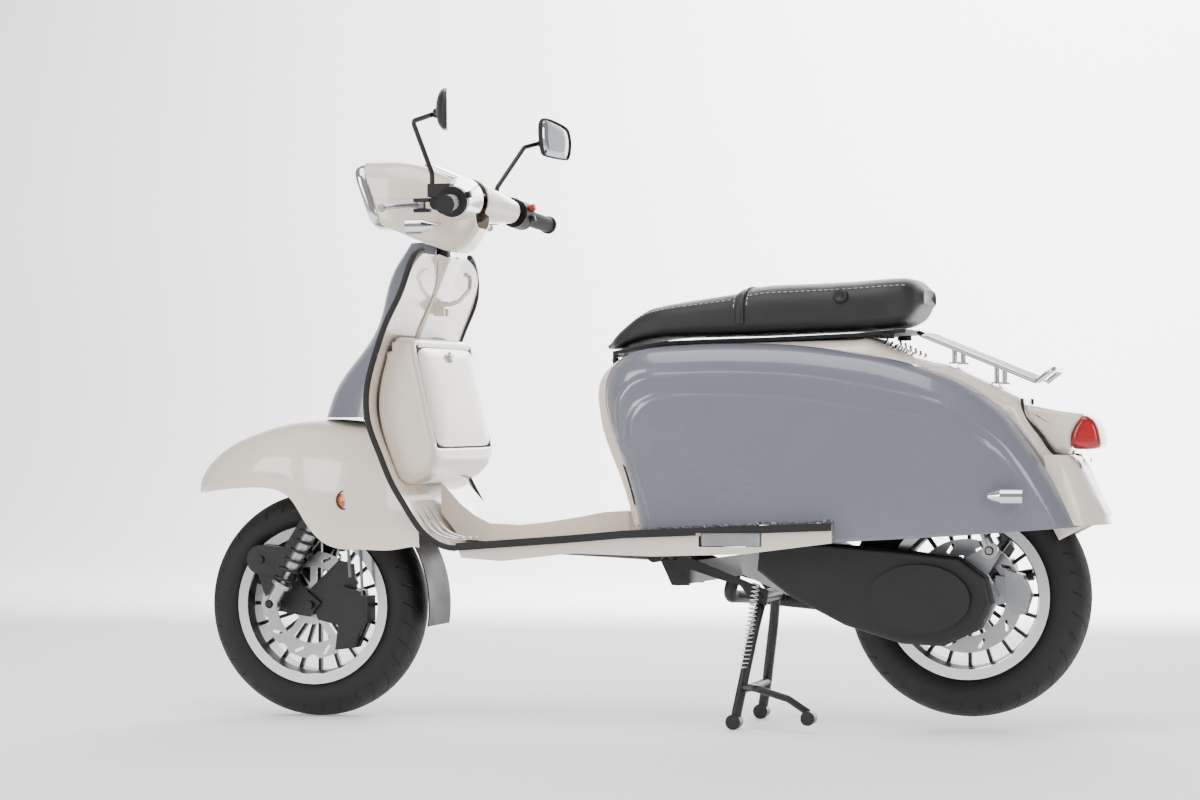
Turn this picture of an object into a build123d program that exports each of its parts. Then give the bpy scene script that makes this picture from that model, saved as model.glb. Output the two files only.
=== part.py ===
"""A retro moped scooter on its centre stand, built as separate pieces.

+X is forward, +Y is the rider's left, +Z is up. The floor is z = 0 and the origin is under the
middle of the machine. The front wheel stands on the floor, the rear wheel hangs just above it.
Front outlines are measured from the front axle, rear outlines from the rear axle.
"""
from build123d import *
import math
import os

# ---------------------------------------------------------------- driving dimensions, mm
wheelbase = 1346.0
rear_axle_x = -664.0
rear_axle_z = 260.0
front_axle_x = rear_axle_x + wheelbase

front_tyre_radius = 229.4
front_tyre_width = 112.0
rear_tyre_radius = 236.4
rear_tyre_width = 122.0
front_axle_z = front_tyre_radius

rim_radius = 162.0
rim_lip_inner = 142.0
rim_half_width = 48.0
rim_seat_radius = 152.0
spoke_count = 20
disc_radius = 110.0
disc_thickness = 4.0
front_axle_radius = 8.0
rear_axle_radius = 10.0
running_gap = 0.05
part_gap = 0.4
moving_gap = 2.0

rake = 23.0
head_x_from_axle = -267.0
head_z = 950.0
stem_radius = 17.0
head_tube_wall = 7.0

bar_radius = 11.0
bar_end_y = 340.0
bar_inner_y = 95.0
grip_radius = 16.5
grip_length = 106.0
leg_shield_half_width = 240.0
floor_half_width = 226.0
sheet = 3.0
edge_trim_radius = 6.0
fork_inner_y = 62.0
fork_plate = 12.0
shock_y = 100.0
link_plate = 8.0
spring_radius = 20.0
spring_wire = 3.0
cowl_wall = 3.0
seat_half_width = 140.0
glovebox_half_width = 200.0
stand_foot_y = 118.0
footrest_length = 120.0
footrest_height = 24.0
footrest_depth = 20.0

tilt = math.radians(rake)
up_axis = Vector(-math.sin(tilt), 0, math.cos(tilt))
head = Vector(front_axle_x + head_x_from_axle, 0, head_z)
neck = Plane(origin=head, x_dir=(math.cos(tilt), 0, math.sin(tilt)), z_dir=up_axis)
os.makedirs("parts", exist_ok=True)


# ---------------------------------------------------------------- shape helpers
def front(points):
    """Side-view points measured from the front axle, moved to the machine's frame."""
    return [(front_axle_x + x, z) for x, z in points]


def rear(points):
    """Side-view points measured from the rear axle, moved to the machine's frame."""
    return [(rear_axle_x + x, z) for x, z in points]


def bar(start, end, radius, mode=Mode.ADD):
    """A round bar between two points."""
    run = Vector(end) - Vector(start)
    with Locations(Plane(origin=Vector(start), z_dir=run)):
        Cylinder(radius, run.length, align=(Align.CENTER, Align.CENTER, Align.MIN), mode=mode)


def cone(start, end, start_radius, end_radius, mode=Mode.ADD):
    """A tapered round bar between two points."""
    run = Vector(end) - Vector(start)
    with Locations(Plane(origin=Vector(start), z_dir=run)):
        Cone(start_radius, end_radius, run.length,
             align=(Align.CENTER, Align.CENTER, Align.MIN), mode=mode)


def tube(points, bend, radius, mode=Mode.ADD):
    """A bent round tube: straight runs joined by arcs."""
    with BuildLine() as path:
        FilletPolyline(*points, radius=bend)
    with BuildSketch(Plane(origin=path.wire() @ 0, z_dir=path.wire() % 0)) as section:
        Circle(radius)
    sweep(section.sketch, path=path.wire(), mode=mode)


def side_plate(outline, y_from, y_to, mode=Mode.ADD, corner=0.0):
    """A plate with its outline in the side view, between two distances to the left."""
    with BuildSketch(Plane.XZ.offset(-y_from)) as profile:
        with BuildLine():
            Polyline(*outline, close=True)
        make_face()
        if corner:
            fillet(profile.vertices(), corner)
    extrude(profile.sketch, amount=y_from - y_to, mode=mode)


def arch(x, half, low, top, shoulder):
    """A closed arch section across the machine: a flat foot and a curved back."""
    rise = top - low
    with BuildSketch(Plane(origin=(x, 0, 0), x_dir=(0, 1, 0), z_dir=(1, 0, 0))) as section:
        with BuildLine():
            Spline((half, low), (half * 0.99, low + rise * 0.45), (half * shoulder, low + rise * 0.85),
                   (0, top),
                   (-half * shoulder, low + rise * 0.85), (-half * 0.99, low + rise * 0.45), (-half, low))
            Line((-half, low), (half, low))
        make_face()
    return section.sketch


def spring(start, end, radius, wire, turns):
    """A coil spring of round wire between two points."""
    run = Vector(end) - Vector(start)
    base = Plane(origin=Vector(start), z_dir=run)
    with BuildLine() as path:
        Helix(run.length / turns, run.length, radius, center=base.origin, direction=base.z_dir)
    with BuildSketch(Plane(origin=path.line @ 0, z_dir=path.line % 0)) as section:
        Circle(wire)
    sweep(section.sketch, path=path.line)


def between(table, x):
    """The value at x on a line through the (x, value) pairs of a table."""
    rows = sorted(table)
    for (x0, v0), (x1, v1) in zip(rows, rows[1:]):
        if x <= x1:
            return v0 + (v1 - v0) * (x - x0) / (x1 - x0)
    return rows[-1][1]


def on_bar(y, ahead=0.0, above=0.0):
    """A point beside the handlebar at a distance to the left or right."""
    reach = (abs(y) - bar_inner_y) / (bar_end_y - bar_inner_y)
    return Vector(head.X - 73 - 50 * reach + ahead, y, head.Z + 98 - 28 * reach + above)


# ---------------------------------------------------------------- wheels
def tyre(axle_x, axle_z, radius, width):
    """A tyre ring: beads between the rim lips, bulged sidewalls and a round tread."""
    bead = rim_half_width - 4 - part_gap
    half = width / 2
    with BuildPart() as ring:
        with BuildSketch(Plane(origin=(axle_x, 0, axle_z), x_dir=(0, 1, 0), z_dir=(1, 0, 0))):
            with BuildLine():
                seat = rim_seat_radius + part_gap
                crown = radius - rim_radius
                Line((bead, seat), (bead, rim_radius + 1.5))
                Spline((bead, rim_radius + 1.5), (half, rim_radius + crown * 0.42),
                       (half * 0.8, rim_radius + crown * 0.79), (half * 0.42, rim_radius + crown * 0.95),
                       (0, radius), (-half * 0.42, rim_radius + crown * 0.95),
                       (-half * 0.8, rim_radius + crown * 0.79), (-half, rim_radius + crown * 0.42),
                       (-bead, rim_radius + 1.5))
                Line((-bead, rim_radius + 1.5), (-bead, seat))
                Line((-bead, seat), (-bead + 9, seat))
                Line((-bead + 9, seat), (-bead + 8, rim_radius + 3))
                Spline((-bead + 8, rim_radius + 3), (-half + 11, rim_radius + crown * 0.45),
                       (-half * 0.62, rim_radius + crown * 0.72), (0, radius - 13),
                       (half * 0.62, rim_radius + crown * 0.72), (half - 11, rim_radius + crown * 0.45),
                       (bead - 8, rim_radius + 3))
                Line((bead - 8, rim_radius + 3), (bead - 9, seat))
                Line((bead - 9, seat), (bead, seat))
            make_face()
        revolve(axis=Axis((axle_x, 0, axle_z), (0, 1, 0)))
    return ring


def rim(axle_x, axle_z, bore, hub_half):
    """A cast rim: lipped barrel, thin spokes and a hub bored for its axle."""
    lip = rim_half_width
    drop = rim_lip_inner
    with BuildPart() as wheel:
        with BuildSketch(Plane(origin=(axle_x, 0, axle_z), x_dir=(0, 1, 0), z_dir=(1, 0, 0))):
            with BuildLine():
                Polyline((lip, drop), (lip, rim_radius), (lip - 4, rim_radius),
                         (lip - 4, rim_seat_radius), (lip - 16, rim_seat_radius), (lip - 20, drop),
                         (-lip + 20, drop), (-lip + 16, rim_seat_radius), (-lip + 4, rim_seat_radius),
                         (-lip + 4, rim_radius), (-lip, rim_radius), (-lip, drop),
                         (-lip + 24, drop - 6), (lip - 24, drop - 6), close=True)
            make_face()
        revolve(axis=Axis((axle_x, 0, axle_z), (0, 1, 0)))
        with BuildSketch(Plane(origin=(axle_x, 0, axle_z), x_dir=(1, 0, 0), z_dir=(0, -1, 0))):
            with PolarLocations((drop + 24) / 2, spoke_count):
                Rectangle(drop - 28, 7)
        extrude(amount=6, both=True)
        bar((axle_x, -hub_half, axle_z), (axle_x, hub_half, axle_z), 34)
        bar((axle_x, -hub_half - 1, axle_z), (axle_x, hub_half + 1, axle_z), bore, Mode.SUBTRACT)
    return wheel


def brake_disc(axle_x, axle_z, inner_y, wavy):
    """A brake disc with a five-armed carrier bolted to the hub."""
    with BuildPart() as disc:
        plane = Plane(origin=(axle_x, inner_y, axle_z), x_dir=(1, 0, 0), z_dir=(0, -1, 0))
        with BuildSketch(plane):
            Circle(disc_radius)
            Circle(disc_radius - 32, mode=Mode.SUBTRACT)
            with PolarLocations(disc_radius - 48, 5, start_angle=20):
                Rectangle(56, 14)
            Circle(40)
            Circle(20, mode=Mode.SUBTRACT)
            with PolarLocations(disc_radius - 14, 10):
                SlotOverall(22, 6, rotation=50, mode=Mode.SUBTRACT)
            if wavy:
                with PolarLocations(disc_radius + 6, 10, start_angle=18):
                    Circle(14, mode=Mode.SUBTRACT)
        extrude(amount=-disc_thickness)
    return disc


disc_inner_y = rim_half_width - 6
hub_half = disc_inner_y
front_tyre = tyre(front_axle_x, front_axle_z, front_tyre_radius, front_tyre_width)
front_rim = rim(front_axle_x, front_axle_z, front_axle_radius + running_gap, hub_half)
front_disc = brake_disc(front_axle_x, front_axle_z, disc_inner_y, True)
rear_tyre = tyre(rear_axle_x, rear_axle_z, rear_tyre_radius, rear_tyre_width)
rear_rim = rim(rear_axle_x, rear_axle_z, rear_axle_radius + running_gap, hub_half)
rear_disc = brake_disc(rear_axle_x, rear_axle_z, disc_inner_y, False)

# ---------------------------------------------------------------- front suspension
pivot_x, pivot_z = front_axle_x + 103.0, front_axle_z + 92.6
shock_foot = Vector(front_axle_x + 69, 0, front_axle_z + 4.6)
shock_length = 235.0
shock_lean = math.radians(31)
shock_line = Vector(-math.sin(shock_lean), 0, math.cos(shock_lean))
shock_top = shock_foot + shock_line * shock_length
bolt_radius = 6.0
link_outer_y = fork_inner_y - 1.5
link_inner_y = link_outer_y - link_plate
fork_outer_y = fork_inner_y + fork_plate


def beside(point, y):
    """A side-view point moved out to a distance from the middle plane."""
    return Vector(point.X, y, point.Z)


with BuildPart() as fork:
    bar(head + up_axis * 70, head - up_axis * 440, stem_radius)
    tube([on_bar(-bar_end_y), on_bar(0), on_bar(bar_end_y)], 120, bar_radius)
    bar(head + up_axis * 71, on_bar(0), 15)
    crown = head - up_axis * 430
    side_plate([(crown.X - 34, crown.Z - 8), (crown.X + 26, crown.Z + 12), (crown.X + 40, crown.Z - 22),
                (crown.X - 22, crown.Z - 40)], -fork_outer_y, fork_outer_y)
    leg = [(crown.X - 34, crown.Z - 8), (crown.X + 26, crown.Z + 12), (pivot_x - 95, pivot_z + 92),
           (pivot_x - 52, pivot_z + 26), (pivot_x, pivot_z + 30), (pivot_x, pivot_z - 30),
           (pivot_x - 66, pivot_z - 36), (pivot_x - 120, pivot_z + 30), (crown.X - 12, crown.Z - 90)]
    side_plate(leg, fork_inner_y, fork_outer_y)
    side_plate(leg, -fork_outer_y, -fork_inner_y)
    for side in (1, -1):
        bar((pivot_x, side * fork_inner_y, pivot_z), (pivot_x, side * fork_outer_y, pivot_z), 30)
        bar((pivot_x, side * (link_inner_y - 1), pivot_z), (pivot_x, side * (fork_outer_y + 7), pivot_z),
            bolt_radius + 2)
        bar(beside(shock_top, side * fork_inner_y), beside(shock_top, side * fork_outer_y), 16)
        bar(beside(shock_top, side * fork_inner_y), beside(shock_top, side * (shock_y + 14)), bolt_radius)

plate_y = disc_inner_y + disc_thickness + 1.5
with BuildPart() as front_caliper:
    block = [(front_axle_x - 72, front_axle_z + 40), (front_axle_x - 112, front_axle_z + 30),
             (front_axle_x - 122, front_axle_z - 30), (front_axle_x - 96, front_axle_z - 86),
             (front_axle_x - 58, front_axle_z - 90), (front_axle_x - 66, front_axle_z - 30)]
    side_plate(block, disc_inner_y - 20, plate_y + 24)
    side_plate([(front_axle_x - 300, front_axle_z - 300), (front_axle_x + 300, front_axle_z - 300),
                (front_axle_x + 300, front_axle_z + 300), (front_axle_x - 300, front_axle_z + 300)],
               disc_inner_y - 1.5, plate_y + 5 + part_gap, Mode.SUBTRACT)
    bridge_low, bridge_high = front_axle_z - 34, front_axle_z + 20
    side_plate([(front_axle_x - 114, bridge_low), (front_axle_x - 128, bridge_low),
                (front_axle_x - 128, bridge_high), (front_axle_x - 114, bridge_high)],
               disc_inner_y - 20, plate_y + 24)

with BuildPart() as front_link:
    arm = [(pivot_x + 6, pivot_z + 22), (pivot_x + 22, pivot_z), (front_axle_x + 88, front_axle_z - 10),
           (front_axle_x, front_axle_z - 24), (front_axle_x - 22, front_axle_z + 6),
           (front_axle_x + 8, front_axle_z + 30), (pivot_x - 30, pivot_z - 12)]
    for side in (1, -1):
        near, far = sorted((side * link_inner_y, side * link_outer_y))
        side_plate(arm, near, far)
        bar((pivot_x, near - 2, pivot_z), (pivot_x, far + 2, pivot_z),
            bolt_radius + 2 + running_gap, Mode.SUBTRACT)
        bar(beside(shock_foot, side * link_inner_y), beside(shock_foot, side * (shock_y + 14)), bolt_radius)
        bar((front_axle_x, side * (hub_half + disc_thickness + 0.5), front_axle_z),
            (front_axle_x, side * link_inner_y, front_axle_z), 15)
    bar((front_axle_x, -link_outer_y - 10, front_axle_z), (front_axle_x, link_outer_y + 10, front_axle_z),
        front_axle_radius)
    add(front_caliper.part)
    side_plate([(front_axle_x - 14, front_axle_z - 30), (front_axle_x + 10, front_axle_z + 26),
                (front_axle_x - 60, front_axle_z + 92), (front_axle_x - 92, front_axle_z + 84),
                (front_axle_x - 104, front_axle_z - 4), (front_axle_x - 70, front_axle_z - 44)],
               plate_y, plate_y + 5)

with BuildPart() as front_shock_bodies:
    for side in (1, -1):
        top = beside(shock_top, side * shock_y)
        bar(top - Vector(0, 10, 0), top + Vector(0, 10, 0), 14)
        bar(top - shock_line * 8, top - shock_line * 24, 22)
        bar(top - shock_line * 20, top - shock_line * 150, 13)
        bar(top - shock_line * 30, top - shock_line * 151, 9, Mode.SUBTRACT)
        bar(top - Vector(0, 11, 0), top + Vector(0, 11, 0), bolt_radius + running_gap, Mode.SUBTRACT)

with BuildPart() as front_shock_rods:
    for side in (1, -1):
        foot = beside(shock_foot, side * shock_y)
        bar(foot, foot + shock_line * 42, 14)
        bar(foot + shock_line * 42, foot + shock_line * 50, 22)
        bar(foot + shock_line * 42, foot + shock_line * 120, 5)
        bar(foot - Vector(0, 11, 0), foot + Vector(0, 11, 0), 17)
        bar(foot - Vector(0, 18, 0), foot + Vector(0, 18, 0), bolt_radius + 3, Mode.SUBTRACT)

with BuildPart() as front_shock_springs:
    for side in (1, -1):
        top = beside(shock_top, side * shock_y)
        foot = beside(shock_foot, side * shock_y)
        spring(foot + shock_line * (51 + spring_wire), top - shock_line * (25 + spring_wire),
               spring_radius, spring_wire, 7)

# ---------------------------------------------------------------- frame
engine_pivot = Vector(rear_axle_x + 569, 0, 295)
stand_pivot = Vector(rear_axle_x + 400, 0, 255)
rail_points = [(rear_axle_x + 600, 120, 338), (rear_axle_x + 545, 126, 366), (rear_axle_x + 470, 128, 500),
               (rear_axle_x + 372, 128, 680), (rear_axle_x + 110, 112, 690), (rear_axle_x - 96, 60, 600)]
footrest_pin = (rear_axle_x + 474, floor_half_width - footrest_depth / 2, 373)
footrest_low = footrest_pin[2] - footrest_height / 2
footrest_top = footrest_pin[2] + footrest_height / 2
seat_hinge = Vector(rear_axle_x + 702, 0, 736)
rear_shock_y = 104.0
shock_rear_top = Vector(rear_axle_x + 60, 0, 636)
shock_rear_foot = Vector(rear_axle_x - 56, 0, 350)

down_tube_radius = 19.0


def down_tube(radius, mode=Mode.ADD):
    """The frame's main tube, from the steering head down under the floor."""
    tube([head - up_axis * 340, (front_axle_x - 196, 0, 500), (front_axle_x - 262, 0, 400),
          (front_axle_x - 370, 0, 360), (rear_axle_x + 604, 0, 340)], 45, radius, mode)


def seat_hinge_tubes(radius, mode=Mode.ADD):
    """The two tubes from the rails up to the seat's hinge."""
    for side in (1, -1):
        tube([(rail_points[2][0], side * 128, 500), (seat_hinge.X - 142, side * 124, 560),
              (seat_hinge.X - 52, side * 90, 640), (seat_hinge.X - 8, side * 42, 698),
              (seat_hinge.X, side * 40, seat_hinge.Z - 10)], 14, radius, mode)


with BuildPart() as frame:
    bar(head - up_axis * 14, head - up_axis * 380, stem_radius + head_tube_wall)
    down_tube(down_tube_radius)
    seat_hinge_tubes(7)
    bar((rear_axle_x + 600, -132, 338), (rear_axle_x + 600, 132, 338), 14)
    for side in (1, -1):
        tube([(x, side * y, z) for x, y, z in rail_points], 40, 13)
        side_plate([(rear_axle_x + 608, 330), (rear_axle_x + 590, 346), (engine_pivot.X - 20, 318),
                    (engine_pivot.X - 22, 276), (engine_pivot.X + 14, 276)],
                   *sorted((side * 52, side * 60)))
        side_plate([(rear_axle_x + 560, 340), (rear_axle_x + 590, 326), (rear_axle_x + 474, 288),
                    (rear_axle_x + 438, 278), (stand_pivot.X + 18, stand_pivot.Z - 3),
                    (stand_pivot.X - 14, stand_pivot.Z - 16), (stand_pivot.X - 18, stand_pivot.Z + 14)],
                   *sorted((side * 79, side * 86)))
        bar((rear_axle_x + 572, side * 60, 330), (rear_axle_x + 572, side * 124, 345), 9)
        for level in (footrest_low - 6, footrest_top + 2):
            with Locations((footrest_pin[0], side * (footrest_pin[1] + 6 - 49), level + 2)):
                Box(26, 98, 4)
        bar((footrest_pin[0], side * footrest_pin[1], footrest_low - 6),
            (footrest_pin[0], side * footrest_pin[1], footrest_top + 6), 4)
        bar(beside(shock_rear_top, side * 90), beside(shock_rear_top, side * 122), bolt_radius)
        bar((shock_rear_top.X, side * 122, shock_rear_top.Z), (shock_rear_top.X, side * 122, 662), 6)
        bar((shock_rear_top.X, side * 126, 662), (shock_rear_top.X, side * 100, 668), 6)
        bar((footrest_pin[0], side * 130, footrest_top + 4), (rear_axle_x + 532, side * 127, footrest_top + 4), 7)
        with Locations((seat_hinge.X, side * 40, seat_hinge.Z - 4)):
            Box(8, 6, 16)
    bar(seat_hinge - Vector(0, 43, 0), seat_hinge + Vector(0, 43, 0), 4)
    bar((engine_pivot.X, -61, engine_pivot.Z), (engine_pivot.X, 61, engine_pivot.Z), 8)
    bar((stand_pivot.X, -90, stand_pivot.Z), (stand_pivot.X, 90, stand_pivot.Z), 7)
    bar(head + up_axis * 80, head - up_axis * 460, stem_radius + running_gap, Mode.SUBTRACT)

# ---------------------------------------------------------------- leg shield and front panels
shield_line = [(-277, 938), (-262, 857), (-237, 802), (-216, 748), (-198, 689), (-192, 640), (-199, 591),
               (-218, 542), (-243, 483), (-271, 434), (-300, 389), (-331, 364), (-370, 354)]
shield_half = [(354, 222), (391, 226), (423, 232), (465, 238), (600, 240), (814, 240), (856, 232),
               (897, 215), (922, 190), (938, 140)]


def shield_width(z):
    """Half the leg shield's width at a height."""
    return between(shield_half, z) * leg_shield_half_width / 240


def thicken(points, amount):
    """The same side-view curve moved sideways by an amount, towards the front wheel."""
    moved = []
    for i, (x, z) in enumerate(points):
        (x0, z0), (x1, z1) = points[max(i - 1, 0)], points[min(i + 1, len(points) - 1)]
        run = math.hypot(x1 - x0, z1 - z0)
        moved.append((x - amount * (z1 - z0) / run, z + amount * (x1 - x0) / run))
    return moved


with BuildPart() as leg_shield:
    with BuildSketch(Plane.XZ) as shield_profile:
        with BuildLine():
            inner = front(shield_line)
            outer = thicken(inner, sheet)
            Spline(*inner)
            Spline(*outer)
            Line(inner[0], outer[0])
            Line(inner[-1], outer[-1])
        make_face()
    extrude(amount=leg_shield_half_width + 20, both=True)
    with BuildSketch(Plane.YZ) as shield_front:
        with BuildLine():
            edge = [(shield_width(z), z) for z in (345, 391, 465, 600, 814, 870, 905, 930)]
            Spline(*edge, (110, 944))
            Line((110, 944), (-110, 944))
            Spline((-110, 944), *[(-y, z) for y, z in reversed(edge)])
            Line((-edge[0][0], edge[0][1]), (edge[0][0], edge[0][1]))
        make_face()
    extrude(amount=front_axle_x + 200, mode=Mode.INTERSECT)
    bar(head + up_axis * 80, head - up_axis * 460, stem_radius + head_tube_wall + 1, Mode.SUBTRACT)
    down_tube(down_tube_radius + 1, Mode.SUBTRACT)


def beyond_shield(gap, ahead):
    """A block of everything ahead of, or behind, the leg shield's rear face moved forward by a gap."""
    cut = front([(x + gap, z) for x, z in shield_line])
    far = front_axle_x + (300 if ahead else -500)
    with BuildPart() as block:
        with BuildSketch(Plane.XZ) as profile:
            with BuildLine():
                Spline(*cut)
                Polyline(cut[-1], (cut[-1][0], 300), (far, 300), (far, 960), (cut[0][0], 960), cut[0])
            make_face()
        extrude(profile.sketch, amount=300, both=True)
    return block.part


with BuildPart() as leg_shield_trim:
    edge = [(x + 1, shield_width(z) + edge_trim_radius - 2, z) for x, z in front(shield_line)[::-1]
            if z < 930 and z != 882]
    with BuildLine() as trim_path:
        Spline(*edge, (front_axle_x - 272, 196, 924), (front_axle_x - 277, 150, 943))
    with BuildSketch(Plane(origin=edge[0], z_dir=trim_path.wire() % 0)) as section:
        Circle(edge_trim_radius)
    sweep(section.sketch, path=trim_path.wire())
    mirror(about=Plane.XZ)
    add(leg_shield.part, mode=Mode.SUBTRACT)

horn_stations = [(966, -202, 40), (924, -174, 52), (850, -147, 66), (775, -121, 78), (692, -56, 95),
                 (652, -34, 100), (612, -20, 104)]


def horn_form(shrink):
    """The nose cover as a solid, with its skin moved inwards."""
    slices = []
    for z, nose, half in horn_stations:
        back = front_axle_x + between([(zz, xx) for xx, zz in shield_line], z) + sheet + 1.5 - shrink * 3
        tip = front_axle_x + nose - shrink
        depth = tip - back
        wide = half - shrink
        with BuildSketch(Plane.XY.offset(z)) as section:
            with BuildLine():
                Spline((back, wide), (back + depth * 0.5, wide * 0.9), (back + depth * 0.88, wide * 0.5),
                       (tip, 0), (back + depth * 0.88, -wide * 0.5), (back + depth * 0.5, -wide * 0.9),
                       (back, -wide))
                Line((back, -wide), (back, wide))
            make_face()
        slices.append(section.sketch)
    with BuildPart() as form:
        loft(slices)
        if shrink:
            with Locations((0, 0, -1)):
                add(form.part)
    return form


neck_below = Plane(origin=head + up_axis * 4, x_dir=neck.x_dir, z_dir=neck.z_dir)
with BuildPart() as horncast:
    add(horn_form(0).part)
    add(horn_form(sheet).part, mode=Mode.SUBTRACT)
    split(bisect_by=neck_below, keep=Keep.BOTTOM)
    add(beyond_shield(sheet + 1.5, False), mode=Mode.SUBTRACT)
    bar(head + up_axis * 80, head - up_axis * 460, stem_radius + head_tube_wall + 1, Mode.SUBTRACT)

fender_stations = [(256, 14, 458, 469), (244, 48, 462, 496), (223, 74, 464, 519), (188, 100, 466, 547),
                   (131, 126, 469, 575), (64, 141, 470, 596), (8, 147, 448, 606), (-32, 152, 392, 609),
                   (-82, 161, 354, 606), (-122, 172, 348, 602), (-182, 192, 348, 598), (-240, 208, 350, 594),
                   (-290, 216, 354, 590)]


def fender_form(shrink):
    """The front mudguard as a solid, with its skin moved inwards and its foot dropped."""
    slices = []
    for x, half, low, top in fender_stations:
        slices.append(arch(front_axle_x + x - shrink * 1.2, half - shrink, low - shrink * 4, top - shrink,
                           0.78))
    with BuildPart() as form:
        loft(slices)
    return form


with BuildPart() as front_fender:
    add(fender_form(0).part)
    add(fender_form(sheet).part, mode=Mode.SUBTRACT)
    add(beyond_shield(sheet + 1.5, False), mode=Mode.SUBTRACT)
    bar(head + up_axis * 80, head - up_axis * 420, stem_radius + head_tube_wall + 1, Mode.SUBTRACT)
    down_tube(down_tube_radius + 1, Mode.SUBTRACT)

with BuildPart() as inner_mudguard:
    with BuildSketch(Plane(origin=(front_axle_x, 0, front_axle_z), x_dir=(1, 0, 0), z_dir=(0, -1, 0))):
        flap_radius = front_tyre_radius + 28
        with BuildLine():
            CenterArc((0, 0), flap_radius, 146, 43)
            CenterArc((0, 0), flap_radius + sheet, 146, 43)
            for angle in (146, 189):
                turn = math.radians(angle)
                Line((flap_radius * math.cos(turn), flap_radius * math.sin(turn)),
                     ((flap_radius + sheet) * math.cos(turn), (flap_radius + sheet) * math.sin(turn)))
        make_face()
    extrude(amount=front_tyre_width / 2 + 10, both=True)

hook_pin = Vector(front_axle_x - 272, 0, 836)
column_front = 24.0
column_rear = 36.0
column_half = 58.0
with BuildPart() as column_cover:
    with BuildSketch(neck.offset(-4)):
        with Locations(((column_front - column_rear) / 2, 0)):
            RectangleRounded(column_front + column_rear, column_half * 2, 26)
            RectangleRounded(column_front + column_rear - 2 * sheet, column_half * 2 - 2 * sheet, 23,
                             mode=Mode.SUBTRACT)
    extrude(amount=-186)
    side_plate(front([(-279, 1000), (-279, 938), (-264, 857), (-239, 802), (-224, 772), (-400, 772),
                      (-400, 700), (-100, 700), (-100, 1000)]), -100, 100, Mode.SUBTRACT)
    for side in (1, -1):
        with Locations((hook_pin.X + 6, side * 13, hook_pin.Z - 4)):
            Box(22, 5, 30)
    with Locations((hook_pin.X + 13, 0, hook_pin.Z - 4)):
        Box(6, 31, 30)
    bar(hook_pin - Vector(0, 15, 0), hook_pin + Vector(0, 15, 0), 3)
    add(beyond_shield(-1, True), mode=Mode.SUBTRACT)

box_outline = [(-197, 770), (-268, 766), (-314, 552), (-316, 526), (-300, 500), (-276, 484), (-243, 478),
               (-216, 542), (-198, 591), (-190, 640), (-196, 689)]


def box_form(shrink):
    """The glove box as a solid behind the leg shield, with its skin moved inwards."""
    cx, cz = -235.0, 640.0
    points = []
    for x, z in box_outline:
        points.append((x - 1.5 - shrink * (x - cx) / 36, z - shrink * (z - cz) / 110))
    with BuildPart() as form:
        side_plate(front(points), -glovebox_half_width + shrink, glovebox_half_width - shrink)
        fillet(form.edges().filter_by(Axis.Y).sort_by(Axis.X)[0:2], 12)
    return form


door_low = Vector(front_axle_x - 316, 0, 545)
door_high = Vector(front_axle_x - 271, 0, 756)
door_rise = door_high - door_low
door_plane = Plane(origin=(door_low + door_high) * 0.5, x_dir=(0, 1, 0),
                   z_dir=Vector(-door_rise.Z, 0, door_rise.X))
door_half = glovebox_half_width - 22
door_wall = 4.0
with BuildPart() as glovebox:
    add(box_form(0).part)
    add(box_form(sheet).part, mode=Mode.SUBTRACT)
    with BuildSketch(door_plane.offset(8)):
        RectangleRounded(door_half * 2, door_rise.length, 18)
    extrude(amount=-24, mode=Mode.SUBTRACT)
    add(beyond_shield(-1, True), mode=Mode.SUBTRACT)
    bar(head + up_axis * 80, head - up_axis * 460, stem_radius + head_tube_wall + 1, Mode.SUBTRACT)

with BuildPart() as glovebox_door:
    with BuildSketch(door_plane.offset(-1.5)):
        RectangleRounded((door_half - moving_gap) * 2, door_rise.length - 2 * moving_gap, 16)
    extrude(amount=-door_wall)
    lock = door_high - door_rise * (26 / door_rise.length)
    bar(lock - door_plane.z_dir * 22, lock + door_plane.z_dir * 1, 10)

with BuildPart() as luggage_hook:
    bar(hook_pin - Vector(0, 9, 0), hook_pin + Vector(0, 9, 0), 6)
    bar(hook_pin - Vector(0, 12, 0), hook_pin + Vector(0, 12, 0), 3 + running_gap, Mode.SUBTRACT)
    tube([hook_pin + Vector(-3, 0, 3), hook_pin + Vector(-32, 0, 10), hook_pin + Vector(-54, 0, 34),
          hook_pin + Vector(-56, 0, 60), hook_pin + Vector(-44, 0, 66)], 7, 4.5)

# ---------------------------------------------------------------- floor
floor_front = front_axle_x - 372
floor_back = rear_axle_x + 634


def floor_level(x):
    """The floor sheet's top at a distance along the machine."""
    return between([(rear_axle_x + 220, 404), (floor_back, 388), (floor_front - 236, 379),
                    (floor_front, 362)], x)


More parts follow.
